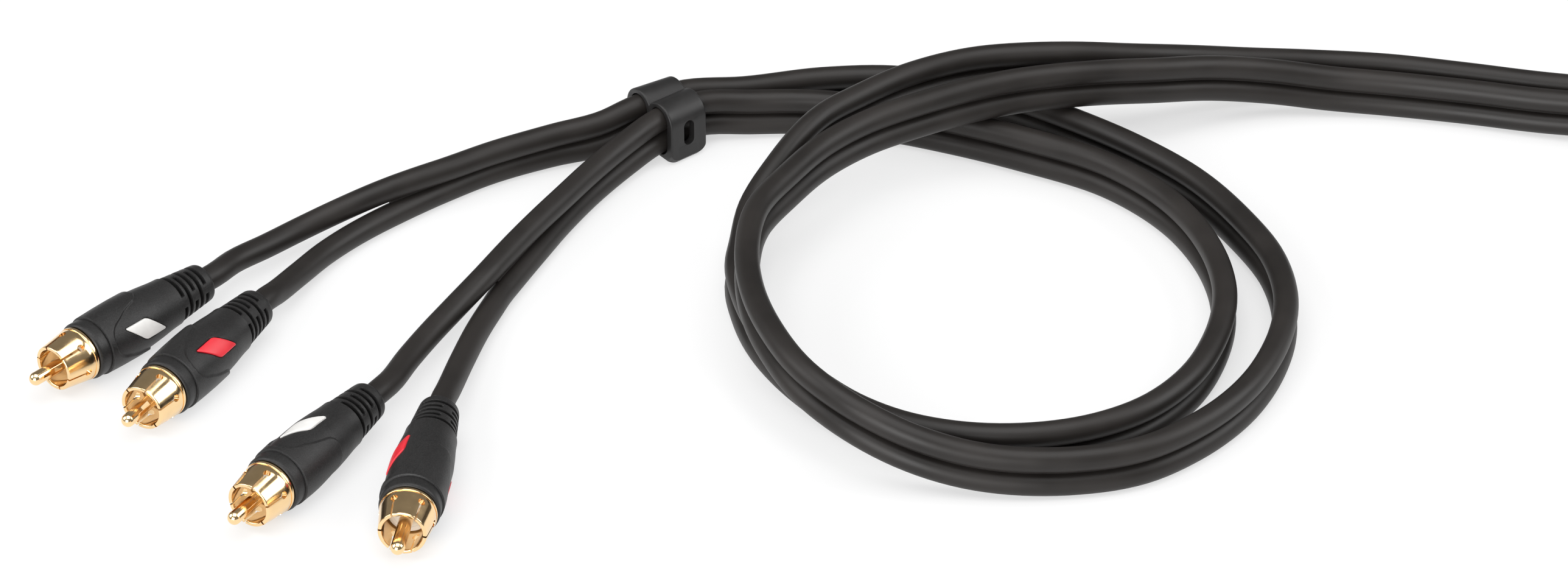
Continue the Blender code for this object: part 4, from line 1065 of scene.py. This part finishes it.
class LEAD_OT_shells(bpy.types.Operator):
    """Make the gold spring shells, split by keyhole slots"""

    bl_idname = "lead.shells"
    bl_label = "Ground shells"

    def execute(self, context):
        stand_on_plugs(shell_mesh(), "petals", "shell", "contact_gold", "polished gold")
        return {"FINISHED"}


class LEAD_OT_contacts(bpy.types.Operator):
    """Make the split contacts and the discs that hold them"""

    bl_idname = "lead.contacts"
    bl_label = "Contacts and discs"

    def execute(self, context):
        stand_on_plugs(pin_mesh(), "contact", "pin", "contact_gold", "polished gold")
        stand_on_plugs(disc_mesh(), "disc", "insulator", "insulator", "insulator plastic")
        return {"FINISHED"}


class LEAD_OT_markers(bpy.types.Operator):
    """Make the white and red inlays on both sides of each plug"""

    bl_idname = "lead.markers"
    bl_label = "Channel markers"

    def execute(self, context):
        inlay = marker_mesh()
        stand_on_plugs(inlay, "inlay_right", "marker_right")
        stand_on_plugs(inlay, "inlay_left", "marker_left", turn=Matrix.Rotation(math.pi, 4, "X"))
        return {"FINISHED"}


class LEAD_OT_keeper(bpy.types.Operator):
    """Make the keeper with its two arches and the window"""

    bl_idname = "lead.keeper"
    bl_label = "Keeper"

    def execute(self, context):
        mesh = set_down(keeper_mesh(), KEEPER_PLACE, KEEPER_YAW)
        stand_for("keeper_arches", mesh, finish_named("smooth moulding"), "black_moulding", "keeper_clip")
        return {"FINISHED"}


class LEAD_OT_tie(bpy.types.Operator):
    """Make the woven strap round the put-away length"""

    bl_idname = "lead.tie"
    bl_label = "Tie"

    def execute(self, context):
        mesh = set_down(tie_mesh(), TIE_PLACE, REST_YAW)
        stand_for("tie_strap_band", mesh, finish_named("woven strap"), "tie_strap", "cord_tie")
        return {"FINISHED"}


class LEAD_OT_twin(bpy.types.Operator):
    """Make the figure-8 twin from one fork to the other"""

    bl_idname = "lead.twin"
    bl_label = "Twin jacket"

    def execute(self, context):
        jacket = context.scene.lead_jacket
        centres, leans = twin_route(jacket)
        lay_cord("twin_jacket", centres, leans, twin_section(jacket), jacket.lobe + jacket.spacing,
                 "twin_run_a", "twin_run_b", "twin_bight", with_pieces=["tie_strap_band"])
        return {"FINISHED"}


def fork_lobes(jacket):
    """Middle of each lobe at the two forks and the way it runs there, legs 1 to 4."""
    centres, leans = twin_route(jacket)
    _, up = path_frames(centres, leans)
    ends = []
    for index, inward in ((0, 1), (-1, -2)):
        for sign in (1.0, -1.0):
            lobe, after = (centres[i] + up[i] * 0.5 * jacket.spacing * sign for i in (index, inward))
            ends.append((lobe, (after - lobe) / np.linalg.norm(after - lobe)))
    return ends


class LEAD_OT_legs(bpy.types.Operator):
    """Make the four single legs between the plugs and the forks"""

    bl_idname = "lead.legs"
    bl_label = "Legs"

    def execute(self, context):
        jacket = context.scene.lead_jacket
        turns = np.linspace(0.0, 2.0 * math.pi, 32, endpoint=False)[:, None]
        section = 0.5 * jacket.lobe * np.hstack((np.sin(turns), np.cos(turns)))
        legs = zip(PLUGS, LEG_ROUTES, fork_lobes(jacket))
        for number, (plug, route, (lobe, along)) in enumerate(legs, start=1):
            matrix = plug_matrix(*plug[1:4])
            axis = np.array(matrix.to_3x3().col[0])
            rear = np.array(matrix.translation)
            points = [rear + axis * LEG_PLUG_DEPTH, rear - axis * FIT_GAP, rear - axis * LEG_LEAD]
            points += [*shifted(np.array(route) * MM), lobe, lobe + along * FORK_LEAD]
            centres = smooth_route(points, jacket.step)
            name = f"leg_{number}"
            lay_cord(name + "_jacket", centres, np.zeros(len(centres)), section, jacket.lobe, name)
        return {"FINISHED"}


class LEAD_OT_stage(bpy.types.Operator):
    """Lay the pale floor, place the soft lamps and set the camera"""

    bl_idname = "lead.stage"
    bl_label = "Stage"

    def execute(self, context):
        settings = context.scene.lead_stage
        look = Vector((*-ORIGIN, 0.0))
        corners = FLOOR_REACH * np.array([(-1, -1, 0), (1, -1, 0), (1, 1, 0), (-1, 1, 0)])
        floor = put_object("floor", put_mesh("floor", corners, [np.array([[0, 1, 2, 3]])]))
        floor.data.materials.append(floor_finish(tuple(settings.floor)))
        world = bpy.data.worlds.new("studio")
        world.use_nodes = True
        world.node_tree.nodes["Background"].inputs["Color"].default_value = (1.0, 1.0, 1.0, 1.0)
        world.node_tree.nodes["Background"].inputs["Strength"].default_value = WORLD_LEVEL
        context.scene.world = world
        for name, place, size, energy in LAMPS:
            lamp = bpy.data.lights.new(name, "AREA")
            lamp.shape = "SQUARE"
            lamp.size = size
            lamp.energy = energy
            holder = put_object(name, lamp)
            holder.location = look + Vector(place)
            holder.rotation_euler = (look - holder.location).to_track_quat("-Z", "Y").to_euler()
        camera = bpy.data.cameras.new("camera")
        camera.sensor_width = 36.0
        camera.lens = settings.lens
        camera.clip_end = 20.0
        holder = put_object("camera", camera)
        angle = settings.elevation
        holder.location = look + settings.distance * Vector((0.0, -math.cos(angle), math.sin(angle)))
        holder.rotation_euler = (0.5 * math.pi - angle, 0.0, 0.0)
        context.scene.camera = holder
        context.scene.view_settings.view_transform = "Standard"
        return {"FINISHED"}


class LEAD_PT_sidebar(bpy.types.Panel):
    """Sizes, colours and steps of the phono lead"""

    bl_idname = "LEAD_PT_sidebar"
    bl_label = "Phono lead"
    bl_space_type = "VIEW_3D"
    bl_region_type = "UI"
    bl_category = "Phono lead"

    def draw(self, context):
        column = self.layout.column()
        for key, kind in SETTINGS.items():
            for name in kind.__annotations__:
                column.prop(getattr(context.scene, key), name)
        for step in STEPS:
            column.operator(step.bl_idname)


STEPS = (LEAD_OT_stage, LEAD_OT_tie, LEAD_OT_twin, LEAD_OT_legs, LEAD_OT_housings, LEAD_OT_shells,
         LEAD_OT_contacts, LEAD_OT_markers, LEAD_OT_keeper)
SETTINGS = {"lead_jacket": LeadJacket, "lead_plug": LeadPlug, "lead_stage": LeadStage}
CLASSES = (*SETTINGS.values(), *STEPS, LEAD_PT_sidebar)


def register():
    """Add the settings, steps and panel."""
    for kind in CLASSES:
        bpy.utils.register_class(kind)
    for key, kind in SETTINGS.items():
        setattr(bpy.types.Scene, key, bpy.props.PointerProperty(type=kind))


def unregister():
    """Take them out again."""
    for key in SETTINGS:
        delattr(bpy.types.Scene, key)
    for kind in reversed(CLASSES):
        bpy.utils.unregister_class(kind)


def main():
    """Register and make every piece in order."""
    register()
    for step in STEPS:
        group, name = step.bl_idname.split(".")
        getattr(getattr(bpy.ops, group), name)()


if __name__ == "__main__":
    main()
